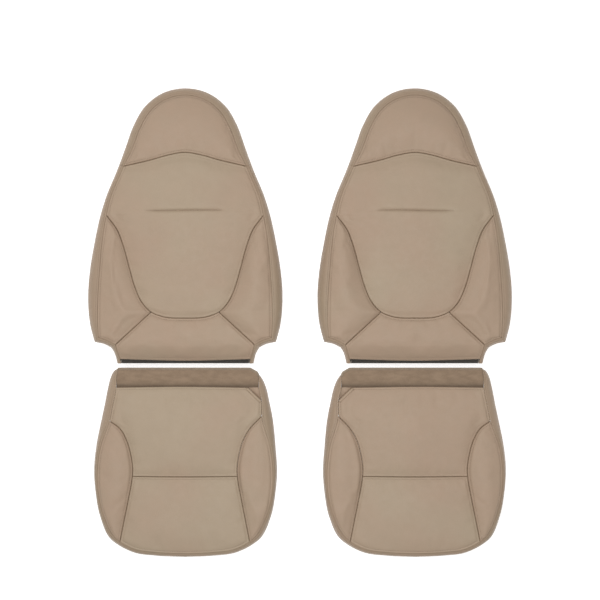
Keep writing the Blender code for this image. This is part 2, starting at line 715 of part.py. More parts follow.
def build_seat(cover):
    outer, inner, across = seat_lines()
    seat_faces(cover, outer, inner, across)
    seat_shell(cover, outer, inner)
    cover.listing(across["cross"])
    seat_tuck_flap(cover, outer, inner, across["rear"])


def main():
    clear_scene()
    materials = make_materials()
    for name, side in (("left", 1), ("right", -1)):
        x = -side * COVER_SPACING / 2
        build_back(Cover(f"{name}_back", x, BACK_HEM_Y, side, materials))
        build_seat(Cover(f"{name}_seat", x, SEAT_FRONT_Y, side, materials))


main()
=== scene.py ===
"""Two pairs of fitted leather seat covers, laid face up on a pale floor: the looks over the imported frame.

Every leather piece is made from the same seam lines as its CAD solid, at a finer pitch, with the
roll of the leather into its seams, the topstitching, and the slack that a cloth simulation gives it.
"""

import json
import math

import bmesh
import bpy
import numpy as np
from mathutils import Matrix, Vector, noise
from mathutils.bvhtree import BVHTree


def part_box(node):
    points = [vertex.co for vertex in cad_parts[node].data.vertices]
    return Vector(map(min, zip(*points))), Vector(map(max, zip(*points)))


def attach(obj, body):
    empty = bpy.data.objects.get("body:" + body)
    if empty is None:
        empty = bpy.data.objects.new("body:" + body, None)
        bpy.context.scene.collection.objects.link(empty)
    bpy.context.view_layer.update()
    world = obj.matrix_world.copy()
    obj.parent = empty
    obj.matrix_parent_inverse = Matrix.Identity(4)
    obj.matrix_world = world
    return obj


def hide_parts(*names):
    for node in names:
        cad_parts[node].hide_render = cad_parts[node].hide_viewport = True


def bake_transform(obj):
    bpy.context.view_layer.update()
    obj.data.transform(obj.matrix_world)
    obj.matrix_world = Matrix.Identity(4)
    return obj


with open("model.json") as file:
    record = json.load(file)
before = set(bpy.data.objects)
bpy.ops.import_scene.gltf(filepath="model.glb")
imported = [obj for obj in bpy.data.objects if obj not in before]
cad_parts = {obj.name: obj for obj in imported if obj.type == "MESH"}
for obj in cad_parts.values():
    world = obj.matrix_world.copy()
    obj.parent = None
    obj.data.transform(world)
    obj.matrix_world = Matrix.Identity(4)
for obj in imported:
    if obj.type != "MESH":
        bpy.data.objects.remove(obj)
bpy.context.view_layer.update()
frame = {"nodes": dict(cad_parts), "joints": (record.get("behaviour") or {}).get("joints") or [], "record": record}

MM = 0.001

# Leather and its seams, in metres
LAMINATE = 0.005
BAND_LAMINATE = 0.004
SEAM_GAP = 0.00016
SEAM_DEPTH = 0.0026  # how far the leather dips where it is sewn
SEAM_ROUND = 0.0046  # width of the roll into a seam
BORDER_SOFTNESS = 0.5  # share of that dip along the outer border
TIP = 0.03  # share of a pointed panel's length that the simulation leaves out at each tip
STITCH_IN = 0.0062  # topstitching, in from its seam
STITCH_SINK = 0.0008
STITCH_SPREAD = 0.0016
STITCH_PITCH = 0.0046
STITCH_LENGTH = 0.0034
STITCH_RADIUS = 0.00045
STITCH_SIDES = 6
STITCH_STEP = 0.002
STITCH_LEAST = 40  # steps along a row
STITCH_AHEAD = 0.0008
ABOVE = 0.3  # a height over everything, from which the leather is looked for

# A stitch: shares of its length, of its radius, and how many radii it lies above the leather
STITCH_RINGS = ((-0.5, 0.45, -0.6), (-0.3, 0.95, 0.15), (0, 1, 0.45), (0.3, 0.95, 0.15), (0.5, 0.45, -0.6))

TUBE_STEP = 0.004
TUBE_LEAST = 12  # rings
TUBE_SIDES = 14
TUBE_DOME = (0.8, 0.96)  # shares of the radius in the first rings at each end
PUCKER = 0.0007  # small folds gathered along the seams
PUCKER_SPREAD = 0.016
WAVE = 0.0016  # slow unevenness of the foam
BORDER_SHADE = 0.28  # painted shade along the outer border, against 1 in the seams between panels
BAND_LIGHT = 0.16  # share of its height that the boxing comes down before its painted shade starts
BAND_FADE = 0.30  # share of its height over which the painted shade grows
# Strength of the painted shade on the lower boxing, where it turns down away from the light
BAND_LOW_SHADE = 0.46
SEAM_LINE = 0.0013  # half the width of the painted shade in a seam
# Painted shade in the groove that the topstitching sinks: its half width, then how strong it is
STITCH_LINE = 0.0011
STITCH_SHADE = 0.2
PUCKER_START = 0.004  # the puckers reach their full height this far from a seam
PUCKER_PITCH = 0.013
WAVE_START = 0.03
WAVE_PITCH = 0.075
GRID = 0.0065  # mesh pitch away from the seams
EDGE_STEPS = np.array([0, 0.7, 1.5, 2.5, 3.8, 5.2, 6.2, 7.3, 9.0, 11.5, 15.5]) * MM
EDGE_SHARE = 0.3  # the close rows by a seam take no more than this share of a panel
RING_POINTS = 240
SAME_LINE = 0.0008  # two borders closer than this are one line
NO_LENGTH = 1e-6  # an edge shorter than this is a single point
LEAST = 1e-9  # stands in for a length of nothing where one is divided by
LEAST_AREA = 1e-12
LEAST_SQUARE = 1e-14
AT_ONCE = 2000  # points measured at a time
WELD = 2e-6  # points closer than this become one
SLIVER = 1e-7
UP = np.array([0.0, 0.0, 1.0])
FLIP = np.array([-1, 1, 1])
ROW_FLIP = np.array([-1, 1, -1, 1, 1])

# Panels: how far each one swells over its seams, then roughly how wide and how long it is, in metres
HEAD_FORM = (0.014, 0.18, 0.5)
CENTRE_FORM = (0.011, 0.41, 0.44)
BOLSTER_FORM = (0.015, 0.13, 0.38)
APRON_FORM = (0.006, 0.33, 0.125)
SEAT_CENTRE_FORM = (0.010, 0.38, 0.25)
SEAT_FRONT_FORM = (0.010, 0.34, 0.2)
SEAT_BOLSTER_FORM = (0.013, 0.085, 0.34)
CROWN_POWER = 0.70

# The pleat sewn across a back cover's centre panel
PLEAT_HEIGHT = 0.555  # share of the cover's height
PLEAT_HALF = 0.120
PLEAT_FADE = 0.035  # length over which each end dies away
PLEAT_SINK = 0.0047
PLEAT_SPREAD = 0.0042
PLEAT_POWER = 1.3
PLEAT_WANDER = 0.0012
PLEAT_WANDER_PITCH = 0.05
# Painted shade in the pleat's fold: how strong, then its width
PLEAT_SHADE = 0.62
PLEAT_LINE = 0.0022
PLEAT_STITCH_IN = 0.012
PLEAT_ROWS = 0.650 + np.linspace(-0.032, 0.032, 25)  # extra mesh rows, as shares of the panel's height

# Boxing: its section, from the face seam down, as shares of the inset and of the seam's height
BAND_SHAPE = ((1.0, 1.0), (0.62, 0.972), (0.24, 0.84), (0.03, 0.62), (0.0, 0.46))
BAND_GRID = 0.008
BAND_FALL_GRID = 0.007
# Share of the seam's dip at the boxing's ends, and the strength of the painted shade there; then that shade's
# width
BAND_END_SOFTNESS = 0.5
BAND_END_LINE = 0.0012
BAND_TURN = 0.002  # the dip at the face seam turns from down to inwards over this
BAND_TURN_LEAST = 0.35  # share of it that goes inwards at the seam itself
BAND_PUCKER_PITCH = 0.014
BAND_PUCKER_SPREAD = 0.02
BAND_WAVE = 0.00128
BAND_WAVE_PITCH = 0.055
BAND_EASE = 0.006  # the folds grow over this from the face seam, and over twice this from the lower edge
BAND_INNER_TURN = 0.7
BAND_INNER_HALF = 0.5  # share of the seam's height, below which the thickness goes straight inwards

# Lower edges, and the pieces round them
REAR_IN = 0.006  # how far in from its outline the boxing of a back cover ends
HEM_IN = 0.005  # the same for a seat cover, whose boxing ends above the floor
HEM_HEIGHT = 0.012
REAR_VINYL = 0.003
REAR_LIFT = 0.0011  # its edge curls up by this, over the next width
REAR_ROLL = 0.0025
# Painted shade along the vinyl's rolled edge: how strong, then how fast it fades
REAR_SHADE = 0.5
REAR_SHADE_SPREAD = 0.003
REAR_GRID = (110, 41)
HEM_ROLL = 0.0032
HEM_ROLL_IN = 0.003
HEM_ROLL_END = 3  # points of the hem that it leaves out at each end
HEM_ROLL_DOWN = 0.55  # share of the laminate that the hem's roll lies below the face
BAND_STITCH_IN = 0.8 * STITCH_IN
WELT_RADIUS = 0.0038
WELT_IN = 0.0026
WELT_RISE = 0.2
GUSSET_GRID = (9, 25)
GUSSET_UNDER = 0.0005  # its edges lie this far under the seams round it
GUSSET_DROP = 0.004  # its face lies this far lower again
GUSSET_SAG = 0.003
# The painted shadow of the welt on the gusset fades over this
GUSSET_SHADE_SPREAD = 0.006

# Flaps
FLAP_ROWS = 3  # a flap has a row of points for this many steps of its section
FLAP_HALF = 0.174
FLAP_CLOTH = 0.0014
FLAP_UNDER = 0.0036  # it is sewn on this far under the apron
FLAP_PATH = ((0.024, 0.0052), (0.01, 0.0006))  # its hidden end: how far past its hinge, and over FLAP_UNDER
FLAP_KNEE = 0.002  # it turns down towards its tip this far past its hinge
FLAP_TIP_CLEARANCE = np.array([0, 0.0008, 0.0006])
FLAP_COLUMNS = 90
FLAP_BEND = np.array([(0, 0.006, 0), (0, -0.002, -0.002)])  # from the hinge, the two ends of a bend that is not made
TUCK_FABRIC = 0.0025
TUCK_REST = math.radians(14)
TUCK_CORNER = 0.022  # radius of its inner corner
TUCK_ROLL = 0.0036  # radius of its rolled rear edge
TUCK_END_CLEARANCE = 0.0003
TUCK_ROOT = ((-0.009, 0.0035), (-0.003, 0.0022), (0.004, 0.001 + 0.004 * math.tan(TUCK_REST)))
TUCK_COLUMNS = 120
TUCK_EASE = 0.01
TUCK_STRETCH = (1, 0.35, 1)
TUCK_WAVE = 0.0016
TUCK_WAVE_PITCH = 0.028
# Painted shade on the flap's root, under the seat's rear seam: how strong, then how fast it fades
TUCK_ROOT_SHADE = 0.75
TUCK_SHADE_SPREAD = 0.007
TUCK_BEND = np.array([(0, -0.003, 0), (0, 0.004, 0)])

# Cloth simulation of the panels
CLOTH_STEP = 0.013
CLOTH_FRAMES = 16
CLOTH_CAP = 0.0022  # no point ends up further than this from the crowned panel
CLOTH_SETTINGS = {
    "quality": 6,
    "mass": 0.25,
    "tension_stiffness": 20,
    "compression_stiffness": 20,
    "shear_stiffness": 8,
    "bending_stiffness": 1.2,
    "air_damping": 6,
    "use_pressure": True,
    "uniform_pressure_force": 3.0,
    "shrink_min": -0.006,  # the cloth is cut this share larger than its frame
}

# Where each cover's noise starts, and how that moves on from left to right
BACK_SEED, SEAT_SEED, SEED_STEP = 3, 11, 20

# How many half widths, lengths and depths of a cover the box round its boxing measures, from the floor up
BACK_BOX = np.array([2, 1, 1])
SEAT_BOX = np.array([1.992, 0.999, 1])
ON_FLOOR = np.array([1, 1, 0])

# Studio: each lamp's name, size in metres, place and power in watts
SKY = 0.50
LAMPS = (("overhead", 2.2, (0.0, -0.05, 2.7), 52), ("near_side", 1.6, (-1.6, 1.2, 1.7), 11))
FLOOR_REACH, FLOOR_GAP = 12.0, 0.0005
FLOOR_LOOKS = {
    "Base Color": (0.93, 0.93, 0.93, 1),
    "Roughness": 0.9,
    "Specular IOR Level": 0.1,
    "Emission Color": (1, 1, 1, 1),
    "Emission Strength": 0.56,
}
SENSOR = 36
CAMERA_HEIGHT = 9.0  # over the faces of the covers
COVER_FACES = 0.05
CAMERA_NORTH = 0.0616  # the set lies a little below the middle of the frame
FRAMED = 1.651  # width of the frame at the covers

PER_SPAN = 24

# Back cover, right half, from the hem to the head. Each station is a point of the outline, as a share
# of half the width and of the height, then the way in from it to the face seam in millimetres, then
# the seam's height as a share of the depth.
BACK_STATIONS = (
    (0.701, 0, -10, 0, 0.54),
    (0.711, 0.016, -10.5, 0, 0.62),
    (0.731, 0.04, -10, 2, 0.8),
    (0.761, 0.058, -13, 8, 0.92),
    (0.828, 0.07, -9, 10, 0.945),
    (0.933, 0.078, -12, 12, 0.95),
    (0.978, 0.141, -22, 5, 0.97),
    (1, 0.244, -29, 2, 1),
    (0.978, 0.345, -28, -2, 1),
    (0.937, 0.432, -22, -4, 0.985),
    (0.869, 0.543, -17, -4, 0.95),
    (0.813, 0.607, -13, -5, 0.905),
    (0.711, 0.694, -12, -6, 0.865),
    (0.679, 0.723, -13, -6, 0.84),
    (0.619, 0.781, -18, -7, 0.825),
    (0.526, 0.87, -18, -10, 0.81),
    (0.418, 0.933, -14, -16, 0.81),
    (0.224, 0.984, -6, -20, 0.81),
    (0, 1, 0, -20, 0.81),
)
BACK_HEM, BACK_APRON, BACK_NOTCH, BACK_CORNER, BACK_APEX, BACK_HEAD, BACK_TOP = 0, 1, 3, 5, 10, 13, 18

# The curved seam under the centre panel, from the bolster's upper end to the middle of the cover, and
# the seam below the head panel: shares of half the width, the height and the depth.
BACK_U_SEAM = (
    (0.694, 0.4835, 0.91),
    (0.632, 0.4256, 0.9),
    (0.571, 0.3465, 0.9),
    (0.511, 0.274, 0.9),
    (0.44, 0.2207, 0.9),
    (0.347, 0.187, 0.9),
    (0.246, 0.172, 0.9),
    (0, 0.165, 0.91),
)
BACK_U_JUNCTION = 6
BACK_DIAGONAL_POINTS = 12
BACK_HEAD_SEAM = ((0.368, 0.736, 0.9), (0.164, 0.756, 0.93), (0, 0.765, 0.94))
BACK_HEM_MIDDLE = np.array([0, 0.0105, 0.62])

# Seat cover. Both sides run from the rear end of the boxing to the middle of the front, and end in
# the same stations. The outer side is laid out like the inner one, and mirrored.
OUTER_STATIONS = (
    (0.735, 0.999, 0, -8, 0.62),
    (0.779, 0.985, -9, -11, 0.65),
    (0.81, 0.958, -16, -11, 0.7),
    (0.838, 0.906, -23, -3, 0.81),
    (0.881, 0.8, -23, -5, 0.86),
    (0.921, 0.709, -26, 7, 0.88),
    (0.968, 0.59, -14, 0, 0.91),
    (0.992, 0.462, -10.5, 0, 0.94),
    (0.976, 0.347, -9, 0, 0.96),
    (0.921, 0.208, -11, 5, 0.98),
)
INNER_STATIONS = (
    (0.806, 0.965, -2.5, -1.5, 0.68),
    (0.83, 0.95, -7, -1, 0.7),
    (0.85, 0.934, -12, -2, 0.74),
    (0.877, 0.902, -19, -1, 0.81),
    (0.913, 0.829, -20, 0, 0.86),
    (0.949, 0.742, -29, 3, 0.88),
    (0.984, 0.578, -14, 0, 0.91),
    (1, 0.455, -11, 0, 0.94),
    (0.984, 0.347, -9, 0, 0.96),
    (0.929, 0.208, -11, 5, 0.98),
)
FRONT_STATIONS = (
    (0.81, 0.094, -11, 9, 0.98),
    (0.735, 0.066, -8, 10, 0.98),
    (0.553, 0.023, -4, 11, 1),
    (0.296, 0.006, -2, 11, 1),
    (0, 0, 0, 11, 1),
)
SEAT_END, SEAT_REAR, SEAT_CUT, SEAT_APEX, SEAT_FRONT, SEAT_MIDDLE = 0, 3, 4, 5, 11, 14
SEAT_SEAM = (
    (0.704, 0.682, 0.885),
    (0.636, 0.624, 0.89),
    (0.587, 0.543, 0.89),
    (0.567, 0.446, 0.89),
    (0.57, 0.429, 0.89),
    (0.607, 0.322, 0.92),
    (0.655, 0.205, 0.95),
)
SEAT_JUNCTION = 5
SEAT_CROSS_MIDDLE = (0, 0.427, 0.93)
SEAT_REAR_MIDDLE = (0, 0.905, 0.83)
SEAT_CUT_START = (0.683, 0.8995, 0.82)


def placed(name, data):
    """A new object in the scene."""
    made = bpy.data.objects.new(name, data)
    bpy.context.scene.collection.objects.link(made)
    return made


# ---- Curves ----


def run_along(line):
    """How far along a line each of its points lies, in plan."""
    return np.concatenate([[0], np.cumsum(np.linalg.norm(np.diff(line[:, :2], axis=0), axis=1))])


def curve_through(points):
    """A smooth curve through the points, PER_SPAN steps for each span, as an array of points."""
    p = np.array(points, float)
    run = run_along(p)
    slope = np.diff(p, axis=0) / np.diff(run)[:, None]
    tangent = np.concatenate([slope[:1], slope, slope[-1:]])
    weight = np.concatenate([[1], np.diff(run), [1]])
    before, after = weight[:-1, None], weight[1:, None]
    tangent = (tangent[:-1] * after + tangent[1:] * before) / (after + before)
    t = np.arange(PER_SPAN)[:, None] / PER_SPAN
    steps = []
    for i, span in enumerate(np.diff(run)):
        places = p[i] * (1 + 2 * t) * (1 - t) ** 2 + p[i + 1] * t * t * (3 - 2 * t)
        places = places + tangent[i] * span * t * (1 - t) ** 2
        steps.append(places - tangent[i + 1] * span * t * t * (1 - t))
    return np.concatenate([*steps, p[-1:]])


def joined(*stretches):
    """Stretches end to end, with each shared point kept once."""
    return np.concatenate([stretches[0], *(s[1:] for s in stretches[1:])])


def mirrored(line):
    """A line, or station rows, on the other side of the centre plane and running the other way."""
    return (line * (FLIP if line.shape[1] == 3 else ROW_FLIP))[::-1]


def stations(table, scale, sign=1):
    """Stations on one side of a cover as outline x, y, seam x, y and seam height, in metres."""
    half, length, depth = scale
    rows = []
    for across, up, inset_x, inset_y, height in table:
        x, y = sign * across * half, up * length
        rows.append([x, y, x + sign * inset_x * MM, y + inset_y * MM, height * depth])
    return np.array(rows)


def seam_of(border):
    """The face seam of a stretch of border: x, y and height."""
    return border[:, 2:5]


def along(curve, shares):
    """Points at the given shares of a curve's length in plan."""
    run = run_along(curve)
    at = np.asarray(shares) * run[-1]
    return np.stack([np.interp(at, run, curve[:, k]) for k in range(curve.shape[1])], axis=1)


def length_of(curve):
    """A curve's length in plan."""
    return float(np.linalg.norm(np.diff(curve[:, :2], axis=0), axis=1).sum())


def inset_of(border):
    """From each point of a border towards its face seam: the way in plan, and how far."""
    inset = border[:, 2:4] - border[:, :2]
    size = np.linalg.norm(inset, axis=1)[:, None]
    return inset / size, size


def fine(curve, first, last):
    """The stretch of a curve between two of the points that it was drawn through, at full detail."""
    return curve[first * PER_SPAN : last * PER_SPAN + 1]


def shares_for(length, pitch=GRID):
    """Shares of a length, close together at both ends, where the seams are."""
    edge = EDGE_STEPS * min(1, EDGE_SHARE * length / EDGE_STEPS[-1])
    count = max(2, round((length - 2 * edge[-1]) / pitch))
    middle = np.linspace(edge[-1], length - edge[-1], count + 1)
    return np.concatenate([edge[:-1], middle, (length - edge[:-1])[::-1]]) / length


# ---- Surfaces ----


def four_sided(near, far, left, right):
    """A surface between four edges, as a function of shares across and along."""

    def surface(u, v):
        a, b, c, d = along(near, u), along(far, u), along(left, v), along(right, v)
        uu, vv = u[None, :, None], v[:, None, None]
        corners = (1 - uu) * (1 - vv) * a[0] + uu * (1 - vv) * a[-1]
        corners = corners + (1 - uu) * vv * b[0] + uu * vv * b[-1]
        return (1 - vv) * a[None] + vv * b[None] + (1 - uu) * c[:, None] + uu * d[:, None] - corners

    return surface


def two_sided(one, other):
    """A surface between two edges that meet at both ends."""

    def surface(u, v):
        a, b, uu = along(one, v), along(other, v), u[None, :, None]
        return (1 - uu) * a[:, None] + uu * b[:, None]

    return surface


def swell(u, v):
    """How far a crowned panel has risen, from 0 at its seams to 1 in its middle."""
    rise = np.sin(np.pi * np.clip(v, 0, 1))[:, None] * np.sin(np.pi * np.clip(u, 0, 1))[None, :]
    return rise**CROWN_POWER


def hump(d, spread):
    """1 at no distance, falling to nothing a few spreads away."""
    return np.exp(-((d / spread) ** 2))


def ring_of(surface):
    """The closed border of a surface, in plan."""
    full, ends = np.linspace(0, 1, RING_POINTS), np.array([0.0, 1.0])
    across, down = surface(full, ends), surface(ends, full)
    return np.concatenate([across[0], down[:, 1], across[1][::-1], down[::-1, 0]])[:, :2]


def distance(points, line):
    """How far each point is, in plan, from a polyline."""
    a, b = line[:-1], line[1:]
    span = b - a
    size = np.maximum((span**2).sum(1), LEAST_SQUARE)
    best = np.zeros(len(points))
    for k in range(0, len(points), AT_ONCE):
        p = points[k : k + AT_ONCE, None, :] - a[None]
        t = np.clip((p * span).sum(2) / size, 0, 1)
        best[k : k + AT_ONCE] = np.sqrt((((p - t[..., None] * span) ** 2).sum(2)).min(1))
    return best


def noisy(points, pitch, seed):
    """Smooth noise from -1 to 1 at each point, with the given pitch in metres."""
    shift = Vector((seed * 7.31, seed * 3.17, seed * 5.53))
    return np.array([noise.noise(Vector(p) / pitch + shift) for p in points])


def roll(d):
    """How far the leather has dipped at a distance from its seam."""
    t = 1 - np.clip(d / SEAM_ROUND, 0, 1)
    return SEAM_DEPTH * (1 - np.sqrt(np.maximum(1 - t * t, 0)))


def slack(surface, crown, u_count, v_count):
    """A crowned, pinned cloth under light pressure: how far each point ends up from the bare surface."""
    u, v = np.linspace(0, 1, u_count + 1), np.linspace(TIP, 1 - TIP, v_count + 1)
    bare = surface(u, v)
    start = bare.copy()
    start[..., 2] += crown * swell(u, v)
    mesh = bpy.data.meshes.new("cloth")
    mesh.from_pydata(start.reshape(-1, 3).tolist(), [], grid_faces(start))
    cloth = placed("cloth", mesh)
    pins = cloth.vertex_groups.new(name="seams")
    places = [divmod(k, u_count + 1) for k in range(len(mesh.vertices))]
    edge = [k for k, (i, j) in enumerate(places) if i in (0, v_count) or j in (0, u_count)]
    pins.add(edge, 1.0, "REPLACE")
    modifier = cloth.modifiers.new("Cloth", "CLOTH")
    settings = modifier.settings
    for setting, value in CLOTH_SETTINGS.items():
        setattr(settings, setting, value)
    settings.vertex_group_mass = pins.name
    settings.effector_weights.gravity = 0
    modifier.point_cache.frame_start = 1
    modifier.point_cache.frame_end = CLOTH_FRAMES
    for step in range(1, CLOTH_FRAMES + 1):
        bpy.context.scene.frame_set(step)
    shaped = cloth.evaluated_get(bpy.context.evaluated_depsgraph_get()).to_mesh()
    end = np.empty(len(mesh.vertices) * 3)
    shaped.vertices.foreach_get("co", end)
    bpy.data.objects.remove(cloth)
    bpy.context.scene.frame_set(1)
    moved = end.reshape(start.shape) - start
    size = np.maximum(np.linalg.norm(moved, axis=2, keepdims=True), LEAST)
    moved *= np.minimum(1, CLOTH_CAP / size)
    return start + moved - bare


def spread(field, u, v):
    """A field on an even grid, read at other shares, and faded out over the tips."""
    rows, columns = field.shape[0] - 1, field.shape[1] - 1
    x, y = u * columns, np.clip((v - TIP) / (1 - 2 * TIP), 0, 1) * rows
    fade = np.sqrt(np.clip(np.minimum(v, 1 - v) / TIP, 0, 1))[:, None, None]
    i, j = np.minimum(y.astype(int), rows - 1), np.minimum(x.astype(int), columns - 1)
    s, t = (y - i)[:, None, None], (x - j)[None, :, None]
    s, t = s * s * (3 - 2 * s), t * t * (3 - 2 * t)
    near = field[i][:, j] * (1 - t) + field[i][:, j + 1] * t
    far = field[i + 1][:, j] * (1 - t) + field[i + 1][:, j + 1] * t
    return (near * (1 - s) + far * s) * fade


def normals(grid):
    """The way out from a grid of points, at each of them."""
    down, across = np.gradient(grid, axis=0), np.gradient(grid, axis=1)
    out = np.cross(across, down)
    size = np.linalg.norm(out, axis=2, keepdims=True)
    return out / np.maximum(size, LEAST_AREA)


# ---- Materials ----


def linear(colour, share=1.0):
    """A colour as shown on a screen, from 0 to 255, as linear light, or as a share of that light."""
    return tuple(((c / 255 + 0.055) / 1.055) ** 2.4 * share for c in colour) + (1.0,)


class Nodes:
    """A material's node tree, with short ways to add to it."""

    def __init__(self, name):
        self.material = bpy.data.materials.new(name)
        self.material.use_nodes = True
        self.tree = self.material.node_tree
        self.place = self.add("ShaderNodeTexCoord").outputs["Object"]

    def feed(self, node, inputs):
        """Gives a node's inputs what they take: another node's output, or a value."""
        for key, source in inputs.items():
            if hasattr(source, "node"):
                self.tree.links.new(source, node.inputs[key])
            else:
                node.inputs[key].default_value = source

    def add(self, kind, inputs=(), **settings):
        """A new node with those inputs and settings."""
        node = self.tree.nodes.new(kind)
        for key, value in settings.items():
            setattr(node, key, value)
        self.feed(node, dict(inputs))
        return node

    def noise(self, scale, detail=3.0, stretch=None):
        """Soft noise, stretched along the axes if it says so."""
        place = self.place
        if stretch:
            place = self.add("ShaderNodeMapping", {"Scale": stretch, "Vector": place}).outputs["Vector"]
        inputs = {"Scale": scale, "Detail": detail, "Vector": place}
        return self.add("ShaderNodeTexNoise", inputs).outputs["Fac"]

    def cells(self, scale, feature="F1"):
        """Distances in a pattern of cells."""
        inputs = {"Scale": scale, "Vector": self.place}
        return self.add("ShaderNodeTexVoronoi", inputs, feature=feature).outputs["Distance"]

    def range(self, source, low, high, to_low, to_high):
        """A value carried over from one range to another."""
        inputs = {"Value": source, "From Min": low, "From Max": high, "To Min": to_low, "To Max": to_high}
        return self.add("ShaderNodeMapRange", inputs).outputs["Result"]

    def mix(self, factor, one, other, blend="MIX"):
        """Two colours mixed."""
        inputs = {0: factor, 6: one, 7: other}
        return self.add("ShaderNodeMix", inputs, data_type="RGBA", blend_type=blend).outputs[2]

    def bump(self, height, distance, strength, under=None):
        """A fine relief, over another one if it says so."""
        inputs = {"Height": height, "Distance": distance, "Strength": strength}
        if under is not None:
            inputs["Normal"] = under
        return self.add("ShaderNodeBump", inputs).outputs["Normal"]

    def with_painted_shade(self, colour, start, share, seam):
        """The colour with painted shade: darker where the mesh's seam value says that shade falls."""
        depth = self.add("ShaderNodeAttribute", attribute_name="seam").outputs["Fac"]
        return self.mix(self.range(depth, start, 1.0, 0, share), colour, seam)

    def finish(self, inputs):
        """The material, once its shader has these inputs."""
        self.feed(self.tree.nodes["Principled BSDF"], inputs)
        return self.material


def leather(name, olive, pink, share, seam):
    """Low-gloss grained leather: a slow drift of hue, pores, faint creases, and painted shade in its seams, stitch
    lines and folds.
    """
    n = Nodes(name)
    drift = n.range(n.noise(3.4, 2), 0.62 - share * 0.5, 0.86 - share * 0.5, 0, 1)
    colour = n.mix(drift, linear(olive), linear(pink))
    colour = n.mix(n.range(n.noise(26, 5), 0.35, 0.75, 0, 0.28), colour, linear(olive, 0.88))
    colour = n.mix(n.range(n.cells(620), 0.0, 0.2, 0.4, 0), colour, linear(olive, 0.7))
    # painted shade: towards the seam colour wherever the mesh marks shade
    colour = n.with_painted_shade(colour, 0.1, 0.64, linear(seam))
    rough = n.range(n.noise(60, 4), 0.3, 0.7, 0.50, 0.64)
    grain = n.bump(n.cells(520, "SMOOTH_F1"), 0.00035, 0.55)
    fold = n.bump(n.noise(95, 5, (1.0, 1.5, 1.0)), 0.0012, 0.22, grain)
    sheen = {"Specular IOR Level": 0.3, "Sheen Weight": 0.05, "Sheen Roughness": 0.5}
    return n.finish({"Base Color": colour, "Roughness": rough, "Normal": fold, **sheen})


def woven(name, base, other, pitch, rough=0.9, sheen=0.25):
    """Fabric: two thread directions, with uneven yarn."""
    n = Nodes(name)
    colour = n.mix(n.range(n.noise(55, 4), 0.35, 0.7, 0, 1), linear(base), linear(other))
    yarn = {"Scale": 0.314 / pitch, "Distortion": 0.4, "Vector": n.place}
    weave = [n.add("ShaderNodeTexWave", yarn, bands_direction=axis).outputs["Fac"] for axis in "XY"]
    threads = n.mix(0.5, *weave, "MULTIPLY")
    relief = n.bump(threads, 0.0003, 0.6, n.bump(n.noise(900, 3), 0.0003, 0.5))
    grade = n.range(n.noise(300, 2), 0.3, 0.7, rough - 0.08, rough)
    return n.finish({"Base Color": colour, "Normal": relief, "Roughness": grade, "Sheen Weight": sheen})


def suede(name, base, light, dark):
    """Napped fabric: brushed patches that catch the light differently."""
    n = Nodes(name)
    nap = n.range(n.noise(38, 5, (1.0, 2.4, 1.0)), 0.35, 0.68, 0, 1)
    colour = n.mix(nap, linear(dark), linear(base))
    colour = n.mix(n.range(n.noise(1400, 2), 0.5, 0.75, 0, 0.7), colour, linear(light))
    # painted shade where the mesh marks it, as at the root of a tuck flap
    colour = n.with_painted_shade(colour, 0.05, 0.9, linear(dark, 0.4))
    relief = n.bump(n.noise(1600, 3), 0.0004, 0.7)
    rough = n.range(n.noise(200, 2), 0.3, 0.7, 0.86, 0.97)
    return n.finish({"Base Color": colour, "Normal": relief, "Roughness": rough, "Sheen Weight": 0.35})


def plastic(name, base, other, rough):
    """Extruded plastic: fine lines along its length, and dull scuffs."""
    n = Nodes(name)
    colour = n.mix(n.range(n.noise(140, 5), 0.52, 0.72, 0, 1), linear(base), linear(other))
    grade = n.range(n.noise(90, 4), 0.3, 0.7, rough - 0.08, rough + 0.14)
    lines = n.bump(n.noise(900, 2, (0.02, 1.0, 1.0)), 0.0002, 0.4)
    return n.finish({"Base Color": colour, "Roughness": grade, "Normal": lines})


def steel(name, bright, dull):
    """Drawn wire, with duller spots."""
    n = Nodes(name)
    colour = n.mix(n.range(n.noise(260, 4), 0.5, 0.7, 0, 0.6), linear(bright), linear(dull))
    rough = n.range(n.noise(500, 2), 0.3, 0.7, 0.28, 0.42)
    return n.finish({"Base Color": colour, "Roughness": rough, "Metallic": 1})


def make_materials():
    """Every material, with its colours as a screen shows them."""
    # seam is the colour that the painted shade in seams, stitch lines, folds and under edges darkens towards
    olive, pink, seam = (158, 141, 120), (158, 136, 116), (108, 84, 60)
    return {
        "centre": leather("centre_leather", olive, pink, 0.45, seam),
        "side": leather("side_leather", olive, pink, 0.85, seam),
        "band": leather("band_leather", (149, 131, 110), (151, 130, 110), 0.5, seam),
        "piping": leather("piping_leather", (160, 142, 121), (160, 139, 118), 0.5, seam),
        "vinyl": leather("rear_vinyl", (150, 132, 112), (150, 130, 110), 0.5, seam),
        "binding": woven("edge_binding", (140, 124, 105), (126, 111, 95), 0.0012),
        "lining": woven("foam_lining", (190, 186, 177), (176, 171, 161), 0.0022, 0.95, 0.1),
        "tuck_fabric": suede("tuck_suede", (136, 115, 94), (148, 127, 105), (122, 102, 82)),
        "flap_fabric": woven("flap_webbing", (48, 46, 42), (57, 54, 49), 0.0015, 0.9, 0.05),
        "strip_plastic": plastic("hook_plastic", (42, 40, 37), (60, 57, 53), 0.42),
        "sleeve_fabric": woven("sleeve_fabric", (204, 200, 190), (188, 183, 172), 0.0012),
        "wire_steel": steel("listing_wire", (186, 188, 190), (128, 122, 116)),
        "thread": woven("sewing_thread", (128, 108, 86), (112, 92, 72), 0.0008, 0.7, 0.3),
    }


# ---- Covers ----


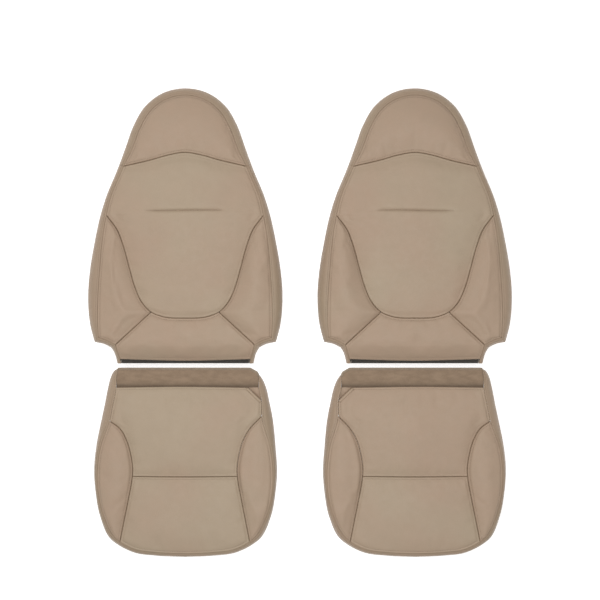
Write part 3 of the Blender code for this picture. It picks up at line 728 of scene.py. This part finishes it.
class Cover:
    """One cover: its place, its side, its body, and the surfaces that its stitches lie on.

    Each row of stitches is a seam line, and how far to the left of it the row runs.
    """

    def __init__(self, name, place, side, seed):
        self.name, self.place, self.side, self.seed = name, np.array([*place, 0.0]), side, seed
        self.body = f"{name}_cover"
        self.surfaces, self.rows = [], []

    def world(self, points):
        """Points of this cover in the shared frame; a right-hand cover is mirrored."""
        return np.asarray(points) * np.array([self.side, 1, 1]) + self.place

    def make(self, piece, points, faces, slot, materials, face_slots=None, attribute=None):
        """An object from points on this cover, its faces turned outwards."""
        mesh = bpy.data.meshes.new(f"{self.name}_{piece}")
        mesh.from_pydata(self.world(points).tolist(), [], faces)
        for item in materials:
            mesh.materials.append(MATERIALS[item])
        if face_slots is not None:
            mesh.polygons.foreach_set("material_index", face_slots)
        # the painted shade at each point, kept as the mesh's seam value for the material to darken by
        if attribute is not None:
            mesh.attributes.new("seam", "FLOAT", "POINT").data.foreach_set("value", attribute)
        mesh.shade_smooth()
        made = placed(f"{self.name}_{piece}_look", mesh)
        turn_outwards(mesh)
        return made

    def shell(self, piece, outer, inner, slot, materials, shade):
        """A sheet with thickness: its face, its back and its edge."""
        count = outer[..., 0].size
        k = np.arange(count).reshape(outer.shape[:2])
        rim = [*k[0, :-1].tolist(), *k[:-1, -1].tolist(), *k[-1, :0:-1].tolist(), *k[:0:-1, 0].tolist()]
        front, back = grid_faces(outer), [face[::-1] for face in grid_faces(inner, count)]
        edge = [(b, a, a + count, b + count) for a, b in zip(rim, rim[1:] + rim[:1])]
        faces = front + back + edge
        slots = [0] * len(front) + [1] * len(back) + [0] * len(edge)
        points = np.concatenate([outer.reshape(-1, 3), inner.reshape(-1, 3)])
        # painted shade on the face, none on the back and edge
        values = np.concatenate([shade.ravel(), np.zeros(count)])
        return self.make(piece, points, faces, slot, materials, slots, values)

    def replace(self, made, piece):
        """The made piece rides on this cover, in the place of its CAD node."""
        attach(made, self.body)
        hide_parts(f"{self.name}_{piece}")

    def lay(self, piece, face, back, finish, shade, flat):
        """A leather piece in the place of its CAD node, for stitches to lie in."""
        made = self.shell(piece, face, back, "leather", (finish, "lining"), shade)
        self.surfaces.append(face)
        self.replace(made, piece)
        declare(flat)

    def panel(self, piece, surface, form, border, finish, dress=None, extra=()):
        """A sewn panel over its CAD node: crowned, slack, rolled into its seams, puckered along them, and given
        painted shade in them.

        The border lists its seams along the boxing, which are softer. A dress says how far a sewn detail sinks
        each point, and how much painted shade it gets there.
        """
        crown, across, down = form
        u, v = shares_for(across), np.unique(np.concatenate([shares_for(down), extra]))
        field = slack(surface, crown, round(across / CLOTH_STEP), round(down / CLOTH_STEP))
        bare = surface(u, v)
        grid = bare + spread(field, u, v)
        flat, plan = grid.reshape(-1, 3), bare.reshape(-1, 3)[:, :2]
        d = distance(plan, ring_of(surface))
        outer = np.zeros(len(d), bool)
        for line in border:
            outer |= distance(plan, line[:, :2]) < d + SAME_LINE
        # how deep each seam dips, and how strong its painted shade is: both softer along the outer border
        firm, dark = np.where(outer, BORDER_SOFTNESS, 1), np.where(outer, BORDER_SHADE, 1)
        flat[:, 2] -= roll(d) * firm + STITCH_SINK * hump(d - STITCH_IN, STITCH_SPREAD)
        ease = np.exp(-d / PUCKER_SPREAD) * np.clip(d / PUCKER_START, 0, 1)
        flat[:, 2] += PUCKER * noisy(flat, PUCKER_PITCH, self.seed) * ease
        flat[:, 2] += WAVE * noisy(flat, WAVE_PITCH, self.seed + 3) * np.clip(d / WAVE_START, 0, 1)
        # painted shade in the seams and in the groove of the topstitching
        shade = dark * hump(d, SEAM_LINE) + STITCH_SHADE * hump(d - STITCH_IN, STITCH_LINE)
        if dress is not None:
            sunk, line_shade = dress(flat)
            flat[:, 2] -= sunk
            shade = np.maximum(shade, line_shade)
        grid = drawn_back(grid)
        self.lay(piece, grid, grid - UP * LAMINATE, finish, shade, grid)

    def band(self, piece, border, low_in, low_height):
        """A boxing strip over its CAD node, down to its lower edge: how far in that is, and how high."""
        border = along(border, shares_for(length_of(border), BAND_GRID))
        profile = band_profile(border, low_in, low_height)
        base = profile.copy()
        fall = np.cumsum(np.linalg.norm(np.diff(base, axis=1), axis=2), axis=1)
        run = np.concatenate([np.zeros((len(base), 1)), fall], axis=1)
        trip = run_along(border)
        from_end = np.minimum(trip, trip[-1] - trip)[:, None] + np.zeros_like(run)
        flat, d = profile.reshape(-1, 3), run.ravel()
        out = normals(base)
        if out[len(out) // 2, 3, 2] < 0:
            out = -out
        out = out.reshape(-1, 3)
        dip = roll(d) * BORDER_SOFTNESS + roll(from_end.ravel()) * BAND_END_SOFTNESS
        flat -= out * dip[:, None] * np.clip(d / BAND_TURN, BAND_TURN_LEAST, 1)[:, None]
        flat[:, 2] -= roll(d) * BORDER_SOFTNESS * np.clip(1 - d / BAND_TURN, 0, 1) * (1 - BAND_TURN_LEAST)
        ripple = PUCKER * noisy(flat, BAND_PUCKER_PITCH, self.seed + 5) * np.exp(-d / BAND_PUCKER_SPREAD)
        ripple += BAND_WAVE * noisy(flat, BAND_WAVE_PITCH, self.seed + 9)
        ease = np.clip(d / BAND_EASE, 0, 1) * np.clip((run[:, -1:] - run).ravel() / (2 * BAND_EASE), 0, 1)
        flat += out * (ripple * ease)[:, None]
        inner = profile + inward(border, base) * BAND_LAMINATE
        # painted shade in the face seam and at the ends, then on the lower boxing, darker the further down it
        # turns
        shade = BORDER_SHADE * hump(run, SEAM_LINE) + BAND_END_SOFTNESS * hump(from_end, BAND_END_LINE)
        fallen = 1 - base[..., 2] / border[:, None, 4]
        shade = np.maximum(shade, BAND_LOW_SHADE * np.clip((fallen - BAND_LIGHT) / BAND_FADE, 0, 1))
        self.lay(piece, drawn_back(profile), drawn_back(inner), "band", shade, profile)

    def tube(self, piece, line, radius, slot, material, body=None):
        """A round piece along a line, with domed ends."""
        line = along(line, np.linspace(0, 1, max(TUBE_LEAST, round(length_of(line) / TUBE_STEP))))
        way = unit(np.gradient(line, axis=0))
        side = unit(np.cross(UP, way))
        rise = np.cross(way, side)
        turn = 2 * math.pi * np.arange(TUBE_SIDES)[:, None] / TUBE_SIDES
        spokes = side[:, None] * np.cos(turn) + rise[:, None] * np.sin(turn)
        from_end = np.minimum(np.arange(len(line)), np.arange(len(line))[::-1])
        girth = radius * np.array([*TUBE_DOME, 1])[from_end.clip(0, len(TUBE_DOME))]
        points = (line[:, None] + spokes * girth[:, None, None]).reshape(-1, 3)
        faces = ring_faces(len(line), TUBE_SIDES)
        made = self.make(piece, points, faces, slot, (material,), None, np.zeros(len(points)))
        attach(made, body or self.body)
        return made

    def sew(self):
        """Every stitch of this cover, as one object of short threads that lie in the leather."""
        tree = surface_tree(self.surfaces)
        centres, ways, ups = [], [], []
        for line, offset in self.rows:
            count = max(STITCH_LEAST, round(length_of(line) / STITCH_STEP))
            dense = along(line[:, :2], np.linspace(0, 1, count))
            way = unit(np.gradient(dense, axis=0))
            shifted = dense + np.stack([-way[:, 1], way[:, 0]], axis=1) * offset
            total = length_of(shifted)
            shares = np.arange(STITCH_PITCH, total - STITCH_PITCH, STITCH_PITCH) / total
            for p, q in zip(along(shifted, shares), along(shifted, shares + STITCH_AHEAD / total)):
                place, normal = tree.ray_cast(Vector((*p, ABOVE)), Vector(-UP))[:2]
                if place is None:
                    continue
                up = np.array(normal if normal.z > 0 else -normal)
                ahead = np.array([*(q - p), 0.0])
                centres.append(np.array(place))
                ways.append(unit(ahead - up * (ahead @ up)))
                ups.append(up)
        axes = np.stack([np.array(ways), np.cross(ups, ways), np.array(ups)], axis=1)
        points = np.array(centres)[:, None] + thread_points() @ axes
        one = ring_faces(len(STITCH_RINGS), STITCH_SIDES)
        step = len(STITCH_RINGS) * STITCH_SIDES
        faces = [tuple(k + step * c for k in face) for c in range(len(centres)) for face in one]
        made = self.make("topstitching", points.reshape(-1, 3), faces, "leather", ("thread",))
        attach(made, self.body)


def unit(ways):
    """The same ways, each one metre long."""
    return ways / np.linalg.norm(ways, axis=-1)[..., None]


def grid_faces(grid, start=0):
    """The faces of a grid of points, the first of which has that number."""
    rows, wide = grid.shape[:2]
    first = [start + i * wide + j for i in range(rows - 1) for j in range(wide - 1)]
    return [(k, k + 1, k + 1 + wide, k + wide) for k in first]


def ring_faces(rings, sides):
    """The faces of a closed tube made of rings of points."""
    faces = []
    for k in range(rings - 1):
        for s in range(sides):
            a, b = k * sides + s, k * sides + (s + 1) % sides
            faces.append((a, b, b + sides, a + sides))
    last = (rings - 1) * sides
    return [*faces, tuple(range(sides))[::-1], tuple(range(last, last + sides))]


def thread_points():
    """One stitch along X, its middle raised along Z, ring by ring."""
    along_x, girth, lift = np.array(STITCH_RINGS).T[:, :, None]
    turn = 2 * math.pi * np.arange(STITCH_SIDES) / STITCH_SIDES
    across, rise = girth * np.cos(turn), girth * np.sin(turn) + lift
    length = along_x * STITCH_LENGTH + np.zeros(STITCH_SIDES)
    return np.stack([length, across * STITCH_RADIUS, rise * STITCH_RADIUS], axis=-1).reshape(-1, 3)


def turn_outwards(mesh):
    """Welds points that fall together, drops faces without area, and turns the rest outwards."""
    bm = bmesh.new()
    bm.from_mesh(mesh)
    bmesh.ops.remove_doubles(bm, verts=bm.verts, dist=WELD)
    bmesh.ops.dissolve_degenerate(bm, edges=bm.edges, dist=SLIVER)
    bmesh.ops.recalc_face_normals(bm, faces=bm.faces)
    bm.to_mesh(mesh)
    bm.free()


def surface_tree(grids):
    """All these grids of points, as one surface that a ray can hit."""
    points, faces = [], []
    for grid in grids:
        faces += grid_faces(grid, len(points))
        points += [Vector(p) for p in grid.reshape(-1, 3)]
    return BVHTree.FromPolygons(points, faces)


def drawn_back(grid):
    """The grid with each of its edges drawn back from the seam by half the seam gap."""
    moved, whole = grid.copy(), slice(None)
    for end, beside in ((0, 1), (-1, -2)):
        for line, step in (((end, whole), (beside, whole)), ((whole, end), (whole, beside))):
            way = grid[step] - grid[line]
            way[:, 2] = 0
            if np.ptp(grid[line], axis=0).max() < NO_LENGTH:
                way = np.broadcast_to(way.mean(axis=0), way.shape)
            moved[line] += SEAM_GAP / 2 * way / np.maximum(np.linalg.norm(way, axis=1), LEAST)[:, None]
    return moved


def band_profile(border, low_in, low_height):
    """The boxing's outer surface: from the face seam, out over the edge, and in again underneath."""
    way, size = inset_of(border)
    rows = []
    for k in range(len(border)):
        points = [(size[k, 0] * a, border[k, 4] * b) for a, b in BAND_SHAPE]
        rows.append(curve_through([*points, (low_in, low_height)]))
    rows = np.array(rows)
    run = run_along(rows.mean(0))
    at = shares_for(run[-1], BAND_FALL_GRID) * run[-1]
    rows = rows[:, np.unique(np.searchsorted(run, at).clip(0, len(run) - 1))]
    plan = border[:, None, :2] + way[:, None, :] * rows[..., :1]
    return np.concatenate([plan, rows[..., 1:]], axis=2)


def inward(border, base):
    """The way from a boxing's outer surface to its inner one, turning from down to inwards."""
    way, size = inset_of(border)
    reach = np.linalg.norm(base[:, :, :2] - border[:, None, :2], axis=2) / size
    over = base[:, :, 2] > border[:, None, 4] * BAND_INNER_HALF
    angle = np.pi / 2 * np.where(over, np.clip(1 - reach, 0, 1) ** BAND_INNER_TURN, 1)
    return np.concatenate([way[:, None, :] * np.sin(angle)[..., None], -np.cos(angle)[..., None]], axis=2)


def sheet_area(grid):
    """The area of a grid of points, cell by cell."""
    down, across = grid[1:, :-1] - grid[:-1, :-1], grid[:-1, 1:] - grid[:-1, :-1]
    return float(np.linalg.norm(np.cross(down, across), axis=2).sum())


def declare(grid):
    """Measures the area of a piece's grid, and keeps nothing of it."""
    area = sheet_area(grid)


# ---- Back cover ----


def back_lines(scale):
    """The seams and borders of a back cover's right half, and the seams that cross its middle."""
    rows = stations(BACK_STATIONS, scale)
    seam = seam_of(rows)
    hem = curve_through(rows[: BACK_NOTCH + 1])
    side = curve_through(np.concatenate([rows[BACK_CORNER:], mirrored(rows[BACK_HEAD:BACK_TOP])]))
    apex, head, top = BACK_APEX - BACK_CORNER, BACK_HEAD - BACK_CORNER, BACK_TOP - BACK_CORNER
    head_half = fine(side, head, top)
    u_right = np.concatenate([seam[[BACK_APEX]], np.array(BACK_U_SEAM) * scale])
    u_curve = curve_through(joined(u_right, mirrored(u_right)))
    head_seam = np.concatenate([seam[[BACK_HEAD]], np.array(BACK_HEAD_SEAM) * scale])
    u_side = fine(u_curve, 0, BACK_U_JUNCTION)
    return {
        "hem_end": fine(hem, BACK_HEM, BACK_APRON),
        "apron_side": fine(hem, BACK_APRON, BACK_NOTCH),
        "notch": curve_through(rows[BACK_NOTCH : BACK_CORNER + 1]),
        "bolster_side": fine(side, 0, apex),
        "waist": fine(side, apex, head),
        "head": joined(head_half, mirrored(head_half)),
        "u_side": u_side,
        "u_middle": fine(u_curve, BACK_U_JUNCTION, 2 * len(BACK_U_SEAM) - BACK_U_JUNCTION),
        "head_seam": curve_through(joined(head_seam, mirrored(head_seam))),
        "diagonal": np.linspace(u_side[-1], seam[BACK_NOTCH], BACK_DIAGONAL_POINTS),
        "hem": curve_through([seam[BACK_APRON], BACK_HEM_MIDDLE * scale, seam[BACK_APRON] * FLIP]),
    }


def build_back(cover, scale):
    """A back cover: five panels, the boxing, the vinyl rear, and the flap that closes its mouth."""
    line = back_lines(scale)
    pleat_y = PLEAT_HEIGHT * scale[1]

    def pleat(points):
        """How far the pleat sinks each point, and how much painted shade its fold gets there."""
        x, y = points[:, 0], points[:, 1] - pleat_y
        fade = np.clip((PLEAT_HALF - np.abs(x)) / PLEAT_FADE, 0, 1)
        off = y - PLEAT_WANDER * np.sin(x / PLEAT_WANDER_PITCH)
        sunk = PLEAT_SINK * fade * np.exp(-np.abs(off / PLEAT_SPREAD) ** PLEAT_POWER)
        # painted shade in the pleat's fold
        return sunk, PLEAT_SHADE * fade * hump(off, PLEAT_LINE)

    border = [seam_of(joined(line["waist"], line["head"])), seam_of(mirrored(line["waist"]))]
    right = joined(seam_of(line["waist"])[::-1], line["u_side"])[::-1]
    centre = four_sided(line["u_middle"][::-1], line["head_seam"][::-1], right * FLIP, right)
    cover.panel("centre_panel", centre, CENTRE_FORM, border, "centre", pleat, PLEAT_ROWS)
    head = two_sided(line["head_seam"], seam_of(line["head"]))
    cover.panel("head_panel", head, HEAD_FORM, border, "side")
    outer = seam_of(joined(line["notch"], line["bolster_side"]))
    inner = joined(line["u_side"], line["diagonal"])[::-1]
    for name, way in (("right", 1), ("left", FLIP)):
        bolster = two_sided(inner * way, outer * way)
        cover.panel(f"{name}_bolster", bolster, BOLSTER_FORM, [outer * way], "side")
    apron_right = joined(seam_of(line["apron_side"]), line["diagonal"][::-1])
    apron = four_sided(line["hem"][::-1], line["u_middle"][::-1], apron_right * FLIP, apron_right)
    sides = seam_of(line["apron_side"])
    cover.panel("apron_panel", apron, APRON_FORM, [line["hem"], sides, sides * FLIP], "side")
    side = joined(line["hem_end"], line["apron_side"], line["notch"], line["bolster_side"], line["waist"])
    cover.band("right_boxing", side, REAR_IN, 0)
    cover.band("left_boxing", mirrored(side), REAR_IN, 0)
    cover.band("head_boxing", line["head"], REAR_IN, 0)
    rear_panel(cover, side, line["head"])
    hem = line["hem"] - np.array([0, -HEM_ROLL_IN, SEAM_DEPTH + LAMINATE * HEM_ROLL_DOWN])
    cover.tube("hem_roll", hem[HEM_ROLL_END:-HEM_ROLL_END], HEM_ROLL, "leather", "side")
    back_flap(cover, line["hem"])
    stitch_back(cover, line, pleat_y)
    cover.sew()


def stitch_back(cover, line, pleat_y):
    """The topstitching of a back cover: round its face, beside its seams and along its pleat."""
    face_side = joined(line["notch"], line["bolster_side"], line["waist"])
    around = joined(seam_of(joined(face_side, line["head"])), mirrored(seam_of(face_side)))
    pleat_end = PLEAT_HALF - PLEAT_STITCH_IN
    cover.rows += [
        (around, STITCH_IN),
        (around, -BAND_STITCH_IN),
        (line["head_seam"], -STITCH_IN),
        (joined(line["u_side"], line["u_middle"], mirrored(line["u_side"])), STITCH_IN),
        (line["diagonal"], -STITCH_IN),
        (mirrored(line["diagonal"]), -STITCH_IN),
        (np.array([[-pleat_end, pleat_y], [pleat_end, pleat_y]]), 0),
    ]


def rear_panel(cover, side, head):
    """The vinyl back, flat on the surface, with a rolled edge."""
    border = joined(side, head[: len(head) // 2 + 1])
    edge = border[:, :2] + inset_of(border)[0] * (REAR_IN + BAND_LAMINATE + SEAM_GAP)
    edge[-1, 0] = 0.0
    edge = along(edge[edge[:, 0] >= 0], np.linspace(0, 1, REAR_GRID[0]))
    share = np.linspace(-1, 1, REAR_GRID[1])
    grid = np.zeros((len(edge), len(share), 3))
    grid[..., 0] = edge[:, :1] * share
    grid[..., 1] = edge[:, 1:]
    outline = np.concatenate([edge, (edge * FLIP[:2])[::-1]])
    d = distance(grid.reshape(-1, 3)[:, :2], outline).reshape(grid.shape[:2])
    top = grid.copy()
    top[..., 2] = REAR_VINYL
    grid[..., 2] = REAR_LIFT * np.clip(1 - d / REAR_ROLL, 0, 1) ** 2
    # painted shade along the rolled edge
    shade = REAR_SHADE * np.exp(-d / REAR_SHADE_SPREAD)
    made = cover.shell("rear_panel", grid, top, "vinyl", ("vinyl", "lining"), shade)
    cover.replace(made, "rear_panel")
    size = (float(2 * edge[:, 0].max()), float(np.ptp(edge[:, 1])))
    sheet_area(grid)


def hinge_of(cover, name):
    """A hinge's point in the world, then how far up the cover and how high it lies."""
    wanted = f"{cover.name}_{name}_hinge"
    point = next(joint["pos_m"] for joint in frame["joints"] if joint["name"] == wanted)
    return np.array(point), point[1] - cover.place[1], point[2]


def flap(cover, piece, hinge, bend, sheets, slot, shade):
    """A flap in the place of its CAD node; the ends of a bend near its hinge are worked out but no bend is made.
    """
    made = cover.shell(piece, *sheets, slot, (slot, slot), shade)
    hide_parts(f"{cover.name}_{piece}")
    start, end = (tuple(hinge + way) for way in bend)
    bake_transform(made)
    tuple(start)
    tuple(end)


def back_flap(cover, hem):
    """The black flap that closes the mouth, sewn under the hem at its hinge line."""
    hinge, y, z = hinge_of(cover, "closing_flap")
    tip = np.array(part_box(f"{cover.name}_closing_flap")[0]) - cover.place + FLAP_TIP_CLEARANCE
    under = hem[:, 2].min() - LAMINATE - FLAP_UNDER
    root = [(y + ahead, under + rise) for ahead, rise in FLAP_PATH]
    path = curve_through([*root, (y + FLAP_KNEE, z), tip[1:]])
    x = np.linspace(-FLAP_HALF, FLAP_HALF, FLAP_COLUMNS)
    sheet = np.zeros((len(path), len(x), 3))
    sheet[..., 0] = x
    sheet[..., 1:] = path[:, None]
    sheet = sheet[::FLAP_ROWS]
    sheets, shade = (sheet, sheet - normals(sheet) * FLAP_CLOTH), np.zeros(sheet.shape[:2])
    flat = (2 * FLAP_HALF, length_of(path))
    flap(cover, "closing_flap", hinge, FLAP_BEND, sheets, "flap_fabric", shade)


# ---- Seat cover ----


def seat_side(table, sign, cut_point, scale):
    """The seams and borders of one side of a seat cover, from its rear end to the middle of its front."""
    rows = stations(table + FRONT_STATIONS, scale, sign)
    border, seam_rows = curve_through(rows), seam_of(rows)
    way = np.array([sign, 1, 1]) * scale
    seam = curve_through([seam_rows[SEAT_APEX], *(SEAT_SEAM * way), seam_rows[SEAT_FRONT]])
    line = {
        "ear": fine(border, SEAT_END, SEAT_REAR),
        "shoulder": fine(border, SEAT_REAR, SEAT_CUT),
        "waist": fine(border, SEAT_CUT, SEAT_APEX),
        "bolster_side": fine(border, SEAT_APEX, SEAT_FRONT),
        "front": fine(border, SEAT_FRONT, SEAT_MIDDLE),
        "upper": fine(seam, 0, SEAT_JUNCTION),
        "lower": fine(seam, SEAT_JUNCTION, len(SEAT_SEAM) + 1),
    }
    waist = seam_of(line["waist"])
    start = seam_of(line["shoulder"]) if cut_point is None else np.array([cut_point, waist[0]])
    line["edge"] = joined(start, waist)
    return line


def build_seat(cover, scale):
    """A seat cover: four panels, the boxing, the buckle corner and the flap that tucks in behind it."""
    cut_point = np.array(SEAT_CUT_START) * scale
    outer = seat_side(OUTER_STATIONS, -1, None, scale)
    inner = seat_side(INNER_STATIONS, 1, cut_point, scale)
    rear = curve_through([outer["edge"][0], np.array(SEAT_REAR_MIDDLE) * scale, cut_point])
    cross = curve_through([outer["upper"][-1], np.array(SEAT_CROSS_MIDDLE) * scale, inner["upper"][-1]])
    front = joined(seam_of(outer["front"]), seam_of(inner["front"])[::-1])
    uppers = [joined(side["edge"], side["upper"])[::-1] for side in (outer, inner)]
    edges = [seam_of(joined(outer["shoulder"], outer["waist"]))]
    upper = four_sided(cross, rear, *uppers)
    cover.panel("centre_panel", upper, SEAT_CENTRE_FORM, edges, "centre")
    lower = four_sided(front, cross, outer["lower"][::-1], inner["lower"][::-1])
    cover.panel("front_panel", lower, SEAT_FRONT_FORM, [front], "centre")
    for side, name, left in ((outer, "outer", 1), (inner, "inner", -1)):
        seam = joined(side["upper"], side["lower"])
        rim = seam_of(side["bolster_side"])
        cover.panel(f"{name}_bolster", two_sided(seam, rim), SEAT_BOLSTER_FORM, [rim], "side")
        border = joined(side["ear"], side["shoulder"], side["waist"], side["bolster_side"])
        cover.band(f"{name}_boxing", border, HEM_IN, HEM_HEIGHT)
        cover.rows += [
            (seam, -left * STITCH_IN),
            (seam_of(joined(side["waist"], side["bolster_side"])), left * STITCH_IN),
            (seam_of(border), -left * BAND_STITCH_IN),
        ]
    cover.band("front_boxing", joined(outer["front"], inner["front"][::-1]), HEM_IN, HEM_HEIGHT)
    cover.rows += [(front, STITCH_IN), (front, -BAND_STITCH_IN), (cross, -STITCH_IN), (rear, -STITCH_IN)]
    buckle_corner(cover, inner)
    tuck_flap(cover, outer, inner)
    cover.sew()


def buckle_corner(cover, inner):
    """The corner gusset and its piping, where the cover makes room for a belt buckle."""
    edge, seam = seam_of(inner["shoulder"]) - UP * GUSSET_UNDER, inner["edge"][:2]
    gusset = two_sided(edge[[0, -1]], np.array([seam[0] - UP * GUSSET_UNDER, edge[-1]]))
    u, v = (np.linspace(0, 1, count) for count in GUSSET_GRID)
    grid = drawn_back(gusset(u, v) - UP * (GUSSET_DROP + GUSSET_SAG * swell(u, v)[..., None]))
    # painted shadow of the welt on the gusset beside it
    shade = np.exp(-distance(grid.reshape(-1, 3)[:, :2], seam[:, :2]) / GUSSET_SHADE_SPREAD)
    cover.lay("corner_gusset", grid, grid - UP * LAMINATE, "side", shade, grid)
    welt = along(seam, u) + np.array([-WELT_IN, -WELT_IN, WELT_RADIUS * WELT_RISE])
    made = cover.tube("corner_welt", welt, WELT_RADIUS, "leather", "piping")
    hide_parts(f"{cover.name}_corner_welt")


def tuck_flap(cover, outer, inner):
    """The napped flap behind the rear seam, sewn under it at its hinge line."""
    hinge, y, z = hinge_of(cover, "tuck_flap")
    low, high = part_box(f"{cover.name}_tuck_flap")
    end = high[1] - cover.place[1] - TUCK_ROLL / 2
    root = [(y + ahead, z - drop) for ahead, drop in TUCK_ROOT]
    path = curve_through([*root, (end, z - (end - y) * math.tan(TUCK_REST))])[::FLAP_ROWS]
    rounded = np.clip((path[:, 0] - (end - TUCK_CORNER)) / TUCK_CORNER, 0, 1)
    trim = TUCK_CORNER * (1 - np.sqrt(1 - rounded**2))
    ears = [seam_of(side["ear"])[::-1] for side in (outer, inner)]
    first, last = (np.interp(path[:, 0], ear[:, 1], ear[:, 0]) for ear in ears)
    first, last = first + TUCK_END_CLEARANCE, last - TUCK_END_CLEARANCE - trim
    grid = np.zeros((len(path), TUCK_COLUMNS, 3))
    grid[..., 0] = first[:, None] + (last - first)[:, None] * np.linspace(0, 1, TUCK_COLUMNS)
    grid[..., 1:] = path[:, None]
    flat = grid.reshape(-1, 3)
    ease = np.clip((flat[:, 1] - y) / TUCK_EASE, 0, 1)
    ripple = noisy(flat * np.array(TUCK_STRETCH), TUCK_WAVE_PITCH, cover.seed + 11)
    flat[:, 2] += TUCK_WAVE * ripple * ease + TUCK_FABRIC / 2
    # painted shade on the flap's root, where the face above shades it
    shade = TUCK_ROOT_SHADE * np.exp(-np.maximum(grid[..., 1] - y, 0) / TUCK_SHADE_SPREAD)
    sheets, size = (grid, grid - UP * TUCK_FABRIC), (high[0] - low[0], length_of(path))
    flap(cover, "tuck_flap", hinge, TUCK_BEND, sheets, "tuck_fabric", shade)
    corner = grid[::-1, -1][1:]
    corner = corner[corner[:, 1] > end - TUCK_CORNER]
    rim = joined(grid[-1], corner) - UP * TUCK_FABRIC / 2
    cover.tube("tuck_flap_rim", rim, TUCK_ROLL, "tuck_fabric", "binding", f"{cover.name}_tuck_flap_body")


# ---- The whole scene ----


def finish_cad_nodes():
    """Every CAD node gets its material, for those that stay in view."""
    slots = {s["node"]: s["material_slot"] for s in frame["record"]["subparts"]}
    for name, node in frame["nodes"].items():
        finish = "side" if slots[name] == "leather" else slots[name]
        node.data.materials.clear()
        node.data.materials.append(MATERIALS[finish])


def span_of(*names):
    """The least and the greatest corner of some CAD nodes together."""
    boxes = [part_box(name) for name in names]
    return np.min([low for low, high in boxes], axis=0), np.max([high for low, high in boxes], axis=0)


def build_covers():
    """The four covers, each one over its own CAD nodes."""
    for number, (name, side) in enumerate((("left", 1), ("right", -1))):
        low, high = span_of(*(f"{name}_back_{k}_boxing" for k in ("left", "right", "head")))
        middle = sum(corner[0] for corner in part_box(f"{name}_back_rear_panel")) / 2
        cover = Cover(f"{name}_back", (middle, low[1]), side, BACK_SEED + number * SEED_STEP)
        build_back(cover, (high - low * ON_FLOOR) / BACK_BOX)
        low, high = span_of(*(f"{name}_seat_{k}_boxing" for k in ("outer", "inner", "front")))
        cover = Cover(f"{name}_seat", (middle, low[1]), side, SEAT_SEED + number * SEED_STEP)
        build_seat(cover, (high - low * ON_FLOOR) / SEAT_BOX)


def light():
    """A soft studio: a pale sky, a large lamp overhead and a weak one to the side."""
    world = bpy.data.worlds.new("studio")
    world.use_nodes = True
    sky = world.node_tree.nodes["Background"].inputs
    sky["Color"].default_value = (1, 1, 1, 1)
    sky["Strength"].default_value = SKY
    bpy.context.scene.world = world
    for name, size, place, power in LAMPS:
        lamp = bpy.data.lights.new(name, "AREA")
        lamp.size, lamp.energy = size, power
        hung = placed(name, lamp)
        hung.location = place
        hung.rotation_euler = Vector(place).to_track_quat("Z", "Y").to_euler()


def stage():
    """The plain pale floor."""
    floor = bpy.data.meshes.new("floor")
    r, z = FLOOR_REACH, -FLOOR_GAP
    floor.from_pydata([(-r, -r, z), (r, -r, z), (r, r, z), (-r, r, z)], [], [(0, 1, 2, 3)])
    floor.materials.append(Nodes("pale_floor").finish(FLOOR_LOOKS))
    placed("floor", floor)


def camera():
    """A long lens, straight down from high above the set."""
    scene = bpy.context.scene
    scene.view_settings.view_transform = "Standard"
    lens = bpy.data.cameras.new("camera")
    lens.sensor_width = SENSOR
    lens.lens = SENSOR * CAMERA_HEIGHT / FRAMED
    scene.camera = placed("camera", lens)
    scene.camera.location = (0, CAMERA_NORTH, CAMERA_HEIGHT + COVER_FACES)


MATERIALS = make_materials()
light()
stage()
camera()
finish_cad_nodes()
build_covers()
